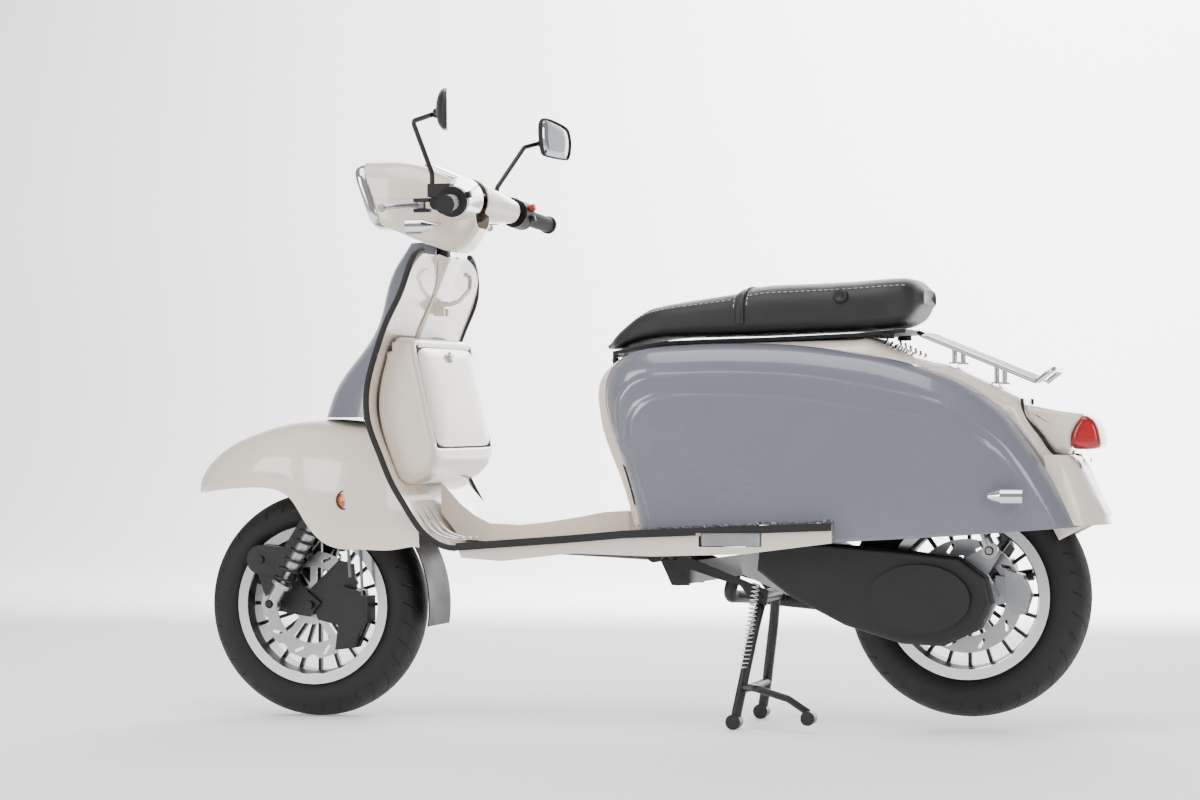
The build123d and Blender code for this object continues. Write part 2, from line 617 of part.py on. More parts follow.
sill_low = [(floor_front - 8, 335), (floor_front - 92, 329), (floor_front - 234, 345),
            (rear_axle_x + 578, 340), (rear_axle_x + 401, 345), (rear_axle_x + 226, 367)]
with BuildPart() as floorboard:
    deck = [(floor_front, floor_level(floor_front)), (floor_front - 236, floor_level(floor_front - 236)),
            (floor_back, floor_level(floor_back))]
    side_plate(deck + [(x, z - sheet) for x, z in reversed(deck)], -floor_half_width, floor_half_width)
    skirt_top = [(floor_front, 362), (floor_front - 236, 379), (floor_back, 388), (rear_axle_x + 226, 404)]
    for side in (1, -1):
        near, far = sorted((side * (floor_half_width - sheet), side * floor_half_width))
        side_plate(skirt_top + sill_low[::-1], near, far)
    tunnel = [(-289, 482), (-328, 439), (-360, 414), (-392, 398), (-456, 395), (-519, 402), (-582, 412),
              (-628, 421), (-680, 424)]
    tunnel_low = [(-680, 384), (-608, 376), (-392, 362), (-331, 366), (-289, 420)]
    side_plate(front(tunnel + tunnel_low), -76, 76)
    side_plate(front([(x, z - sheet) for x, z in tunnel] + [(x, z - 14) for x, z in tunnel_low]), -73, 73,
               Mode.SUBTRACT)
    side_plate(front([(-280, 520), (-280, 470), (-271 - 5, 434), (-305, 389), (-336, 364), (-240, 330),
                      (-200, 520)]), -300, 300, Mode.SUBTRACT)
    for side in (1, -1):
        with Locations((footrest_pin[0] - footrest_length / 2 + 10, side * floor_half_width,
                        footrest_pin[2])):
            Box(footrest_length + 2 * moving_gap, 30, footrest_height + 2 * moving_gap,
                mode=Mode.SUBTRACT)

with BuildPart() as floor_edge_trims:
    trim_x = [floor_front, floor_front - 236, floor_back, rear_axle_x + 226]
    trim_top = [(x, floor_level(x) + 2) for x in trim_x]
    trim_low = [(x, floor_level(x) - 13) for x in reversed(trim_x)]
    for side in (1, -1):
        near, far = sorted((side * (floor_half_width + part_gap / 2), side * (floor_half_width + 9)))
        side_plate(trim_top + trim_low, near, far)
        with Locations((footrest_pin[0] - footrest_length / 2 + 10, side * (floor_half_width + 5),
                        footrest_top - 10)):
            Box(footrest_length + 14, 20, 22, mode=Mode.SUBTRACT)


def footrest(side):
    """A flat bar that swings out of the sill on an upright pin at its front end."""
    with BuildPart() as rest:
        near = side * footrest_pin[1] - footrest_depth / 2
        with BuildSketch(Plane.XY.offset(footrest_low)):
            with Locations((footrest_pin[0] - (footrest_length - footrest_depth) / 2,
                            near + footrest_depth / 2)):
                SlotOverall(footrest_length, footrest_depth)
        extrude(amount=footrest_height)
        bar((footrest_pin[0], side * footrest_pin[1], footrest_low - 1),
            (footrest_pin[0], side * footrest_pin[1], footrest_top + 1), 4 + running_gap, Mode.SUBTRACT)
    return rest


footrest_left = footrest(1)
footrest_right = footrest(-1)

# ---------------------------------------------------------------- rear body
body_line = [(646, 388), (671, 476), (713, 584), (724, 633), (722, 663), (716, 688), (689, 714),
             (638, 740), (516, 752), (217, 757), (177, 760), (128, 728), (21, 703), (-76, 656), (-114, 632)]
body_plan = [(724, 128), (690, 150), (160, 150), (60, 132), (-114, 84)]


def body_form(shrink, drop):
    """The centre body as a solid, with its skin moved inwards and its foot lowered."""
    with BuildPart() as form:
        top = [(x - (shrink if z < 720 and x > 600 else -shrink if x < 0 else 0),
                z - (shrink if z > 600 else 0)) for x, z in body_line]
        with BuildSketch(Plane.XZ) as profile:
            with BuildLine():
                Polyline(*rear(top), *rear([(-114 + shrink * 2, 560), (560, 560), (612, 388 - drop),
                                            (646 - shrink, 388 - drop)]), close=True)
            make_face()
        extrude(profile.sketch, amount=150 - shrink, both=True)
        with BuildSketch(Plane.XY.offset(380 - drop)) as plan:
            with BuildLine():
                left = [(rear_axle_x + x, y - shrink) for x, y in body_plan]
                Polyline(*left, *[(x, -y) for x, y in reversed(left)], close=True)
            make_face()
        extrude(plan.sketch, amount=420 + drop, mode=Mode.INTERSECT)
    return form


with BuildPart() as rear_body:
    add(body_form(0, 0).part)
    with BuildPart(mode=Mode.PRIVATE) as hollow:
        add(body_form(sheet, 6).part)
        with Locations((rear_axle_x + 300, 0, 556)):
            Box(700, 2 * (150 - sheet), 12)
    add(hollow.part, mode=Mode.SUBTRACT)
    with Locations((rear_axle_x + 400, 0, 760)):
        Box(430, 226, 60, mode=Mode.SUBTRACT)
    seat_hinge_tubes(9, Mode.SUBTRACT)

cowl_top = [(690, 667), (680, 697), (659, 713), (639, 727), (620, 738), (514, 746), (364, 747),
            (220, 735), (64, 702), (-36, 658), (-136, 556), (-186, 478), (-224, 412)]
cowl_front = [(690, 628), (680, 590), (659, 525), (639, 468), (620, 395), (514, 360), (364, 360),
              (220, 362), (64, 375), (-36, 381), (-136, 388), (-186, 391), (-224, 394)]
cowl_half = [(-224, 128), (-186, 146), (-136, 165), (-36, 188), (64, 200), (220, 208), (364, 210),
             (514, 205), (620, 197), (639, 194), (659, 190), (680, 183), (690, 174)]


def cowl_form(shrink):
    """One side panel as a solid bulge over the centre body, with its skin moved inwards."""
    slices = []
    for (x, top), (_, low) in zip(cowl_top, cowl_front):
        half = between(cowl_half, x) - shrink
        inner = half - 44
        rise = top - low
        step = {cowl_top[0][0]: 2 * shrink, cowl_top[-1][0]: -2 * shrink}.get(x, 0)
        with BuildSketch(Plane(origin=(rear_axle_x + x + step, 0, 0), x_dir=(0, 1, 0),
                               z_dir=(1, 0, 0))) as section:
            with BuildLine():
                Spline((half - 4, low - shrink * 2), (half, low + rise * 0.35),
                       (half - 7, low + rise * 0.72), (inner, top + shrink * 2))
                Polyline((inner, top + shrink * 2), (60 - shrink * 4, top + shrink * 2),
                         (60 - shrink * 4, low - shrink * 2), (half - 4, low - shrink * 2))
            make_face()
        slices.append(section.sketch)
    with BuildPart() as form:
        loft(slices, ruled=True)
    return form


def side_cowl(side):
    """One side panel, seated on the floor trim."""
    with BuildPart() as cowl:
        add(cowl_form(0).part)
        add(cowl_form(cowl_wall).part, mode=Mode.SUBTRACT)
        side_plate([(rear_axle_x + 222, 300), (rear_axle_x + 222, floor_level(rear_axle_x + 222) + 3),
                    (floor_back, floor_level(floor_back) + 3), (rear_axle_x + 700, 300)],
                   0, 300, Mode.SUBTRACT)
        with BuildSketch(Plane.XY.offset(300)):
            with BuildLine():
                Polyline(*[(rear_axle_x + x, y + 1) for x, y in body_plan], (rear_axle_x - 300, 84),
                         (rear_axle_x - 300, 0), (rear_axle_x + 800, 0), (rear_axle_x + 800, 128), close=True)
            make_face()
        extrude(amount=600, mode=Mode.SUBTRACT)
    if side > 0:
        return cowl
    with BuildPart() as other:
        add(mirror(cowl.part, about=Plane.XZ, mode=Mode.PRIVATE))
    return other


side_cowl_left = side_cowl(1)
side_cowl_right = side_cowl(-1)

with BuildPart() as rear_indicators:
    for side in (1, -1):
        tip = Vector(rear_axle_x - 68, side * 198, 455)
        cone(tip, tip + Vector(-24, 0, 0), 5, 15)
        bar(tip + Vector(-24, 0, 0), tip + Vector(-66, 0, 0), 15)
        bar(tip + Vector(-40, 0, 0), tip + Vector(-40, -side * 22, 0), 6)

tail_half = 68.0
with BuildPart() as tail_housing:
    side_plate(rear([(-115, 630), (-178, 618), (-231, 610), (-215, 599), (-202, 570), (-206, 542),
                     (-211, 535), (-177, 534), (-123, 604)]), -tail_half, tail_half)
with BuildPart() as tail_lens:
    side_plate(rear([(-231.6, 609.6), (-248, 598), (-256, 586), (-263, 551), (-258, 542), (-206.5, 541.5),
                     (-202.5, 570), (-215.5, 599)]), -tail_half + 4, tail_half - 4)

panel_sections = [(532, -190, -213), (470, -200, -246), (398, -207, -275)]


def panel_form(shrink):
    """The rear mudguard panel as a solid, with its skin moved inwards."""
    slices = []
    for z, side_x, back_x in panel_sections:
        height = z + shrink * (2 if z == 532 else -2 if z == 398 else 0)
        half = 110 - shrink
        reach = rear_axle_x + side_x + 30 + shrink * 3
        with BuildSketch(Plane.XY.offset(height)) as section:
            with BuildLine():
                Spline((rear_axle_x + side_x, half), (rear_axle_x + (side_x + back_x) / 2 - 8, half * 0.8),
                       (rear_axle_x + back_x + shrink, 0),
                       (rear_axle_x + (side_x + back_x) / 2 - 8, -half * 0.8), (rear_axle_x + side_x, -half))
                Polyline((rear_axle_x + side_x, -half), (reach, -half), (reach, half),
                         (rear_axle_x + side_x, half))
            make_face()
        slices.append(section.sketch)
    with BuildPart() as form:
        loft(slices)
    return form


plate_bolt_x = 70.0
plate_bolt_z = 60.0
with BuildPart() as rear_mudguard:
    add(panel_form(0).part)
    add(panel_form(sheet).part, mode=Mode.SUBTRACT)
    with Locations(Plane(origin=(rear_axle_x - 245, 0, 478), z_dir=(-1, 0, 0))):
        with GridLocations(plate_bolt_z, plate_bolt_x, 2, 2):
            Cylinder(3, 120, mode=Mode.SUBTRACT)

rack_half = 75.0
rack_front = Vector(rear_axle_x + 86, 0, 768)
rack_back = Vector(rear_axle_x - 140, 0, 674)
with BuildPart() as luggage_rack:
    rail = Vector(0, rack_half, 0)
    tube([rack_back + rail, rack_front + rail, rack_front - rail, rack_back - rail], 22, 5.5)
    tail = Vector(-16, 0, -10)
    lift = Vector(-18, 0, 32)
    tube([rack_back + rail * 0.9 + tail * 0.2, rack_back + rail * 0.9 + tail + lift,
          rack_back - rail * 0.9 + tail + lift, rack_back - rail * 0.9 + tail * 0.2], 14, 5.5)
    bar(rack_back + rail, rack_back - rail, 5.5)
    for share in (-0.68, -0.34, 0, 0.34, 0.68):
        bar(rack_back + rail * share, rack_front + rail * share, 4.5)
    for side in (1, -1):
        for along in (0.3, 0.66):
            spot = rack_front + (rack_back - rack_front) * along + Vector(0, side * 50, 0)
            drop = spot.Z - between(rear(body_line[9:]), spot.X) - 10
            bar(spot, spot - Vector(0, 0, drop), 5)
            bar(spot - Vector(0, 0, drop), spot - Vector(0, 0, drop + 4), 11)

# ---------------------------------------------------------------- seat
seat_stations = [(716, 40, 744, 762), (684, 84, 745, 784), (646, 108, 754, 812), (586, 128, 764, 834),
                 (483, 138, 767, 846), (373, 140, 769, 867), (203, 136, 775, 874), (115, 122, 782, 881),
                 (82, 92, 800, 872), (74, 60, 815, 858)]
with BuildPart() as seat_pad:
    seat_slices = []
    for x, half, low, top in seat_stations:
        wide = half * seat_half_width / 140
        with BuildSketch(Plane(origin=(rear_axle_x + x, 0, 0), x_dir=(0, 1, 0), z_dir=(1, 0, 0))) as cushion:
            with BuildLine():
                mid = low + (top - low) * 0.4
                Spline((-wide * 0.86, low), (-wide, mid), (-wide * 0.62, top - (top - low) * 0.06), (0, top),
                       (wide * 0.62, top - (top - low) * 0.06), (wide, mid), (wide * 0.86, low))
                Line((wide * 0.86, low), (-wide * 0.86, low))
            make_face()
        seat_slices.append(cushion.sketch)
    loft(seat_slices)
base_line = [(686, 740), (646, 748), (586, 758), (483, 761), (373, 763), (203, 769), (105, 776)]
with BuildPart() as seat_base:
    side_plate(rear([(x, z - part_gap) for x, z in base_line]
                    + [(x, z - 8) for x, z in reversed(base_line)]), -100, 100)
    side_plate(rear([(708, 741), (708, 729), (696, 729), (682, 734), (684, 740)]), -34, 34)
    bar(seat_hinge - Vector(0, 36, 0), seat_hinge + Vector(0, 36, 0), 4 + running_gap, Mode.SUBTRACT)
# ---------------------------------------------------------------- inside the body
tray_wall = 2.5
with BuildPart() as helmet_tray:
    with BuildSketch(Plane.XY.offset(586)):
        with Locations((rear_axle_x + 300, 0)):
            RectangleRounded(216, 200, 30)
    extrude(amount=150)
    with BuildSketch(Plane.XY.offset(586 + tray_wall)):
        with Locations((rear_axle_x + 300, 0)):
            RectangleRounded(216 - 2 * tray_wall, 200 - 2 * tray_wall, 27)
    extrude(amount=170, mode=Mode.SUBTRACT)
with BuildPart() as fuel_tank:
    with BuildSketch(Plane.XY.offset(500)):
        with Locations((rear_axle_x + 518, 0)):
            RectangleRounded(180, 210, 28)
    extrude(amount=215)
    bar((rear_axle_x + 540, 0, 714), (rear_axle_x + 540, 0, 740), 24)

# ---------------------------------------------------------------- engine and rear suspension
gear_inner_y = rear_tyre_width / 2 + 3
with BuildPart() as rear_caliper:
    side_plate(rear([(-78, 312), (-112, 302), (-128, 262), (-116, 226), (-92, 226), (-80, 262)]),
               disc_inner_y - 18, disc_inner_y + disc_thickness + 22)
    side_plate(rear([(-40, 330), (-127, 330), (-127, 200), (-40, 200)]),
               disc_inner_y - 1.5, disc_inner_y + disc_thickness + 1.5, Mode.SUBTRACT)
    side_plate(rear([(-60, 300), (-100, 296), (-100, 250), (-60, 244)]),
               disc_inner_y + disc_thickness + 4, gear_inner_y - part_gap)

with BuildPart() as crankcase:
    add(rear_caliper.part)
    side_plate(rear([(436, 330), (430, 300), (334, 258), (262, 232), (248, 250), (248, 350), (300, 372),
                     (420, 366)]), -104, 96)
    side_plate(rear([(290, 350), (290, 236), (120, 196), (20, 190), (-50, 216), (-70, 262), (-40, 314),
                     (100, 340)]), gear_inner_y, 96)
    side_plate(rear([(300, 350), (300, 300), (20, 226), (-34, 240), (-36, 284), (0, 300)]),
               -gear_inner_y - 26, -gear_inner_y)
    for side in (1, -1):
        side_plate(rear([(580, 318), (592, 296), (578, 274), (420, 300), (420, 340)]),
                   *sorted((side * 26, side * 44)))
    bar((engine_pivot.X, -50, engine_pivot.Z), (engine_pivot.X, 50, engine_pivot.Z), 20)
    bar((engine_pivot.X, -51, engine_pivot.Z), (engine_pivot.X, 51, engine_pivot.Z),
        8 + running_gap, Mode.SUBTRACT)
    bar((rear_axle_x, hub_half + disc_thickness + 0.5, rear_axle_z), (rear_axle_x, gear_inner_y, rear_axle_z), 16)
    bar((rear_axle_x, -gear_inner_y, rear_axle_z), (rear_axle_x, -hub_half - 0.5, rear_axle_z), 16)
    bar((rear_axle_x, -98, rear_axle_z), (rear_axle_x, 90, rear_axle_z), rear_axle_radius)
    for side in (1, -1):
        side_plate(rear([(40, 300), (-20, 256), (-76, 346), (-60, 366), (-36, 352), (20, 320)]),
                   *sorted((side * 84, side * 90)))
        bar(beside(shock_rear_foot, side * 84), beside(shock_rear_foot, side * 116), bolt_radius)

with BuildPart() as drive_cover:
    side_plate(rear([(388, 352), (300, 366), (120, 352), (0, 338), (-52, 300), (-64, 250), (-40, 200),
                     (30, 168), (110, 172), (220, 206), (330, 262), (392, 310)]),
               96 + part_gap, 140)
    fillet(drive_cover.faces().sort_by(Axis.Y)[-1].edges(), 8)
    with BuildSketch(Plane(origin=(rear_axle_x + 74, 140, 258), x_dir=(1, 0, 0), z_dir=(0, 1, 0))):
        Ellipse(98, 66)
    extrude(amount=10)

with BuildPart() as exhaust:
    muffler_front = Vector(rear_axle_x + 250, -145, 236)
    muffler_back = Vector(rear_axle_x - 70, -147, 288)
    bar(muffler_front, muffler_back, 38)
    tail_run = (muffler_back - muffler_front).normalized()
    bar(muffler_back - tail_run * 2, muffler_back + tail_run * 34, 12)
    tube([(rear_axle_x + 470, -8, 302), (rear_axle_x + 484, -8, 252), (rear_axle_x + 456, -104, 246),
          (rear_axle_x + 340, -140, 232), muffler_front + Vector(-20, 0, 3)], 16, 13)
    bar((rear_axle_x + 456, -8, 316), (rear_axle_x + 476, -8, 298), 16)

with BuildPart() as rear_shock_bodies:
    rear_line = (shock_rear_foot - shock_rear_top).normalized()
    for side in (1, -1):
        top = beside(shock_rear_top, side * rear_shock_y)
        bar(top - Vector(0, 9, 0), top + Vector(0, 9, 0), 14)
        bar(top + rear_line * 8, top + rear_line * 190, 14)
        bar(top + rear_line * 30, top + rear_line * 191, 10, Mode.SUBTRACT)
        bar(top - Vector(0, 10, 0), top + Vector(0, 10, 0), bolt_radius + running_gap, Mode.SUBTRACT)
with BuildPart() as rear_shock_rods:
    for side in (1, -1):
        foot = beside(shock_rear_foot, side * rear_shock_y)
        bar(foot - Vector(0, 8, 0), foot + Vector(0, 8, 0), 16)
        bar(foot - rear_line * 10, foot - rear_line * 24, 13)
        bar(foot - rear_line * 20, foot - rear_line * 150, 6)
        bar(foot - Vector(0, 9, 0), foot + Vector(0, 9, 0), bolt_radius + 3, Mode.SUBTRACT)

# ---------------------------------------------------------------- centre stand
with BuildPart() as centre_stand:
    foot_x = stand_pivot.X + 44
    bar(stand_pivot - Vector(0, 72, 0), stand_pivot + Vector(0, 72, 0), 13)
    for side in (1, -1):
        tube([stand_pivot + Vector(0, side * 60, -4), (stand_pivot.X + 10, side * 84, stand_pivot.Z - 60),
              (foot_x - 14, side * (stand_foot_y - 8), 80), (foot_x, side * stand_foot_y, 9)], 40, 10)
        with BuildSketch(Plane.XZ.offset(-side * stand_foot_y + 13)) as shoe:
            with Locations((foot_x, 15)):
                Circle(15)
        extrude(shoe.sketch, amount=-26)
    bar((foot_x - 14, -stand_foot_y + 12, 76), (foot_x - 14, stand_foot_y - 12, 76), 8)
    tube([(foot_x - 14, stand_foot_y - 12, 82), (foot_x - 56, 165, 84), (foot_x - 120, 172, 66),
          (foot_x - 160, 172, 40)], 20, 7)
    bar((foot_x - 160, 158, 30), (foot_x - 160, 186, 30), 14)
    bar(stand_pivot - Vector(0, 91, 0), stand_pivot + Vector(0, 91, 0), 7 + running_gap, Mode.SUBTRACT)

# ---------------------------------------------------------------- headset and handlebar
lamp_plane = Plane(origin=(head.X + 140, 0, 1056), x_dir=(0, 1, 0), z_dir=(0.943, 0, -0.332))
bezel_depth = 24.0


def headset_form(shrink):
    """The headset as a solid: a lamp barrel at the front that closes to the bar's arms behind."""
    slices = []
    with BuildSketch(lamp_plane.offset(-bezel_depth - shrink * 2)) as face:
        RectangleRounded(2 * (92 - shrink), 140 - 2 * shrink, 42)
    slices.append(face.sketch)
    for x, half, low, top, corner in ((85, 96, 966, 1129, 44), (20, 94, 952, 1120, 44), (-40, 76, 946, 1092, 38),
                                      (-88, 48, 990, 1064, 30)):
        middle = (low + top) / 2
        with BuildSketch(Plane(origin=(head.X + x, 0, middle), x_dir=(0, 1, 0), z_dir=(1, 0, 0))) as ring:
            RectangleRounded(2 * (half - shrink), top - low - 2 * shrink, corner - shrink)
        slices.append(ring.sketch)
    with BuildPart() as form:
        loft(slices)
        for side in (1, -1):
            cone(on_bar(side * 30, 8, -4), on_bar(side * 178), 46 - shrink, 25 - shrink)
    return form


seam_z = 1052.0
seam = Plane.XY.offset(seam_z)
with BuildPart() as headset_shell:
    add(headset_form(0).part)
    add(headset_form(sheet).part, mode=Mode.SUBTRACT)
    split(bisect_by=neck.offset(8), keep=Keep.TOP)
    for side in (1, -1):
        bar(on_bar(side * 16), on_bar(side * 240), bar_radius + part_gap, Mode.SUBTRACT)

dial_plane = Plane(origin=(head.X - 14, 0, 1108), x_dir=(0, 1, 0), z_dir=(-0.4, 0, 0.917))
dial_half = 44.0
with BuildPart() as headset_upper:
    add(headset_shell.part)
    split(bisect_by=seam, keep=Keep.TOP)
    with BuildSketch(dial_plane.offset(-12)):
        RectangleRounded(2 * (dial_half + part_gap), 92 + 2 * part_gap, 30)
    extrude(amount=40, mode=Mode.SUBTRACT)
with BuildPart() as headset_lower:
    add(headset_shell.part)
    split(bisect_by=seam.offset(-part_gap), keep=Keep.BOTTOM)
with BuildPart() as instrument:
    with BuildSketch(dial_plane.offset(-12)):
        RectangleRounded(2 * dial_half, 92, 30)
    extrude(amount=16)
with BuildPart() as headlight:
    with BuildSketch(lamp_plane.offset(-bezel_depth + part_gap)):
        RectangleRounded(184, 140, 42)
        RectangleRounded(160, 116, 32, mode=Mode.SUBTRACT)
    extrude(amount=bezel_depth)
    with BuildSketch(lamp_plane.offset(-bezel_depth + part_gap)):
        RectangleRounded(159, 115, 31)
    extrude(amount=bezel_depth - 4)

grip_start = bar_end_y + 5 - grip_length


def grip(side, bore):
    """A sleeve with a flanged end over the bar's end."""
    with BuildPart() as sleeve:
        bar(on_bar(side * grip_start), on_bar(side * (bar_end_y + 4)), grip_radius)
        bar(on_bar(side * (bar_end_y - 1)), on_bar(side * (bar_end_y + 5)), grip_radius + 2.5)
        bar(on_bar(side * (grip_start - 4)), on_bar(side * (bar_end_y + 0.6)), bore, Mode.SUBTRACT)
    return sleeve


grip_left = grip(1, bar_radius)
throttle_grip = grip(-1, bar_radius + running_gap)

switch_y = 214.0
switch_half = 18.0
with BuildPart() as switchgears:
    for side in (1, -1):
        bar(on_bar(side * (switch_y - switch_half)), on_bar(side * (switch_y + switch_half)), 30)
        bar(on_bar(side * (switch_y - 8), 34, -2), on_bar(side * (switch_y + 6), 34, -2), 14)
        with Locations(on_bar(side * (switch_y - 4), 26, 22)):
            Box(46, 30, 26)
        with Locations(on_bar(side * (switch_y + 1), 64, -16)):
            Box(32, 16, 7)
        with Locations(on_bar(side * (switch_y + 1), 64, 4)):
            Box(32, 16, 7)
        bar(on_bar(side * (switch_y + 1), 66, -19), on_bar(side * (switch_y + 1), 66, 7), 4)
        bar(on_bar(side * (switch_y - 34)), on_bar(side * (switch_y + 30)), bar_radius, Mode.SUBTRACT)
        bar(on_bar(side * (switch_y - 6), 44, 8), on_bar(side * (switch_y - 6), 44, 60), 5, Mode.SUBTRACT)
    for pocket in ((1, -22, 10, 8), (-1, -22, 12, 8), (-1, -22, -12, 7)):
        side, ahead, above, size = pocket
        bar(on_bar(side * switch_y, ahead - 2, above), on_bar(side * switch_y, ahead - 24, above + 6), size + 1,
            Mode.SUBTRACT)


def thumb_button(side, above, size):
    """A round push button set in the rider's side of a switch block."""
    with BuildPart() as button:
        bar(on_bar(side * switch_y, -25.5, above + 1), on_bar(side * switch_y, -37, above + 4), size)
    return button


indicator_switch = thumb_button(1, 10, 8 - moving_gap / 2)
kill_switch = thumb_button(-1, 12, 8 - moving_gap / 2)
starter_button = thumb_button(-1, -12, 7 - moving_gap / 2)


def brake_lever(side):
    """A curved hand lever on an upright pin, with a ball end."""
    with BuildPart() as lever:
        pin = on_bar(side * (switch_y + 1), 66, 0)
        bar(pin + Vector(0, 0, -12), pin + Vector(0, 0, 0), 9)
        tube([pin + Vector(2, side * 2, -6), pin + Vector(18, side * 28, -7), pin + Vector(34, side * 74, -12),
              pin + Vector(38, side * 122, -18)], 30, 5)
        with Locations(pin + Vector(38, side * 124, -18)):
            Sphere(8)
        bar(pin + Vector(0, 0, -14), pin + Vector(0, 0, 2), 4 + running_gap, Mode.SUBTRACT)
    return lever


brake_lever_left = brake_lever(1)
brake_lever_right = brake_lever(-1)

stalk_root_left = on_bar(switch_y - 6, 44, 20)
stalk_root_right = on_bar(-switch_y + 6, 44, 20)
mirror_point_left = Vector(head.X - 90, 318, 1196)
mirror_point_right = Vector(head.X - 108, -322, 1192)


stalk_elbow_left = Vector(head.X - 38, 282, 1188)
stalk_elbow_right = Vector(head.X - 88, -288, 1182)
with BuildPart() as mirror_stalks:
    for root, elbow, target in ((stalk_root_left, stalk_elbow_left, mirror_point_left),
                                (stalk_root_right, stalk_elbow_right, mirror_point_right)):
        tube([root - Vector(0, 0, 12), root + Vector(0, 0, 36), elbow, target], 14, 5 - running_gap)


def mirror_head(side, point):
    """A mirror shell of rounded trapezium outline, facing the rider's eyes."""
    toe = math.radians(18)
    facing = Vector(-math.cos(toe), -side * math.sin(toe), 0)
    face = Plane(origin=point + facing * 26 + Vector(-26 * math.sin(toe), side * 26 * math.cos(toe), 8),
                 x_dir=(side * math.sin(toe), -math.cos(toe), 0), z_dir=facing)
    with BuildPart() as shell:
        with BuildSketch(face) as outline:
            with BuildLine():
                Polyline((side * -58, 24), (side * -44, 48), (side * 40, 32), (side * 62, -14),
                         (side * 50, -44), (side * -48, -40), close=True)
            make_face()
            fillet(outline.vertices(), 14)
        extrude(amount=6)
        extrude(outline.sketch, amount=-14, taper=35)
        bar(point + facing * 6, point + facing * 26, 7)
    return shell


mirror_left = mirror_head(1, mirror_point_left)
mirror_right = mirror_head(-1, mirror_point_right)

with BuildPart() as front_indicators:
    for side in (1, -1):
        nose = Vector(head.X + 22, side * 150, head.Z + 42)
        bar(nose, nose + Vector(-34, 0, 0), 15)
        cone(nose + Vector(-34, 0, 0), nose + Vector(-58, 0, 0), 15, 5)
        bar(nose + Vector(-30, 0, 0), nose + Vector(-46, -side * 62, 8), 6)

hose_points = [(front_axle_x - 84, 80, 500), (front_axle_x - 86, 82, 420), (front_axle_x - 92, 84, 350),
               (front_axle_x - 96, 84, 288)]
with BuildPart() as brake_hoses:
    tube(hose_points, 60, 3.2)
    tube([(x - 26, y, z - (24 if z < 300 else 0)) for x, y, z in hose_points], 60, 3.2)

pieces = {
    "frame": frame, "leg_shield": leg_shield, "leg_shield_trim": leg_shield_trim, "horncast": horncast,
    "front_fender": front_fender, "inner_mudguard": inner_mudguard,
    "column_cover": column_cover, "glovebox": glovebox, "glovebox_door": glovebox_door,
    "luggage_hook": luggage_hook, "floorboard": floorboard,
    "floor_edge_trims": floor_edge_trims, "footrest_left": footrest_left, "footrest_right": footrest_right,
    "rear_body": rear_body, "side_cowl_left": side_cowl_left, "side_cowl_right": side_cowl_right,
    "rear_indicators": rear_indicators, "tail_housing": tail_housing, "tail_lens": tail_lens,
    "rear_mudguard": rear_mudguard, "luggage_rack": luggage_rack,
    "seat_pad": seat_pad, "seat_base": seat_base,
    "helmet_tray": helmet_tray, "fuel_tank": fuel_tank,
    "crankcase": crankcase, "drive_cover": drive_cover, "exhaust": exhaust,
    "rear_tyre": rear_tyre, "rear_rim": rear_rim, "rear_disc": rear_disc,
    "rear_shock_bodies": rear_shock_bodies, "rear_shock_rods": rear_shock_rods,
    "centre_stand": centre_stand, "fork": fork, "front_link": front_link,
    "front_tyre": front_tyre, "front_rim": front_rim, "front_disc": front_disc,
    "front_shock_bodies": front_shock_bodies, "front_shock_rods": front_shock_rods,
    "front_shock_springs": front_shock_springs, "headset_upper": headset_upper,
    "headset_lower": headset_lower, "headlight": headlight, "instrument": instrument,
    "grip_left": grip_left, "throttle_grip": throttle_grip,
    "switchgears": switchgears, "indicator_switch": indicator_switch, "kill_switch": kill_switch,
    "starter_button": starter_button, "brake_lever_left": brake_lever_left,
    "brake_lever_right": brake_lever_right, "mirror_stalks": mirror_stalks,
    "mirror_left": mirror_left, "mirror_right": mirror_right,
    "front_indicators": front_indicators, "brake_hoses": brake_hoses,
}
for name, piece in pieces.items():
    piece.part.label = name
    export_step(piece.part, f"parts/{name}.step")
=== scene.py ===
"""A step-through scooter on its centre stand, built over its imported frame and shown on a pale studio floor."""
import math
import bmesh
import bpy
import numpy as np
from mathutils import Matrix, Vector


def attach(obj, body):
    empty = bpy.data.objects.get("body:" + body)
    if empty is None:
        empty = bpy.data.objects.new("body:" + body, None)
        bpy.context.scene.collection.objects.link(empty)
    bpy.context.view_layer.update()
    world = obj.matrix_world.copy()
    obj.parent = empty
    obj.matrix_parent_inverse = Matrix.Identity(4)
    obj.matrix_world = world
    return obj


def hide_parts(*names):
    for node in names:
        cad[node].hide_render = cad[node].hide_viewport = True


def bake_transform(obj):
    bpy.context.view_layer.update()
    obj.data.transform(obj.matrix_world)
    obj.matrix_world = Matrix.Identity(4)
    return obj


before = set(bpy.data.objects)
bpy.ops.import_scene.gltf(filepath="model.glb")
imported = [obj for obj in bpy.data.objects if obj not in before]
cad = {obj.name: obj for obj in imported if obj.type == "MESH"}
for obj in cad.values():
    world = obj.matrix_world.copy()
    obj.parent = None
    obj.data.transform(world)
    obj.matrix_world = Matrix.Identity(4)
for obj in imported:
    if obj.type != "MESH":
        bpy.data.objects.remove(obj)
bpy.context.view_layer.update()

# ---------------------------------------------------------------- viewpoint
# A long lens stands about six metres off the scooter's left side, just above axle height.
# It looks slightly forward along the machine and almost level.
lens_mm = 95.64
look = Vector((math.sin(math.radians(15.96)), -math.cos(math.radians(15.96)), math.sin(math.radians(0.4))))
look.normalize()
right = look.cross(Vector((0, 0, 1))).normalized()
upward = right.cross(look)
roll = Matrix.Rotation(math.radians(0.34), 3, look)
right, upward = roll @ right, roll @ upward
lens = bpy.data.cameras.new("viewpoint")
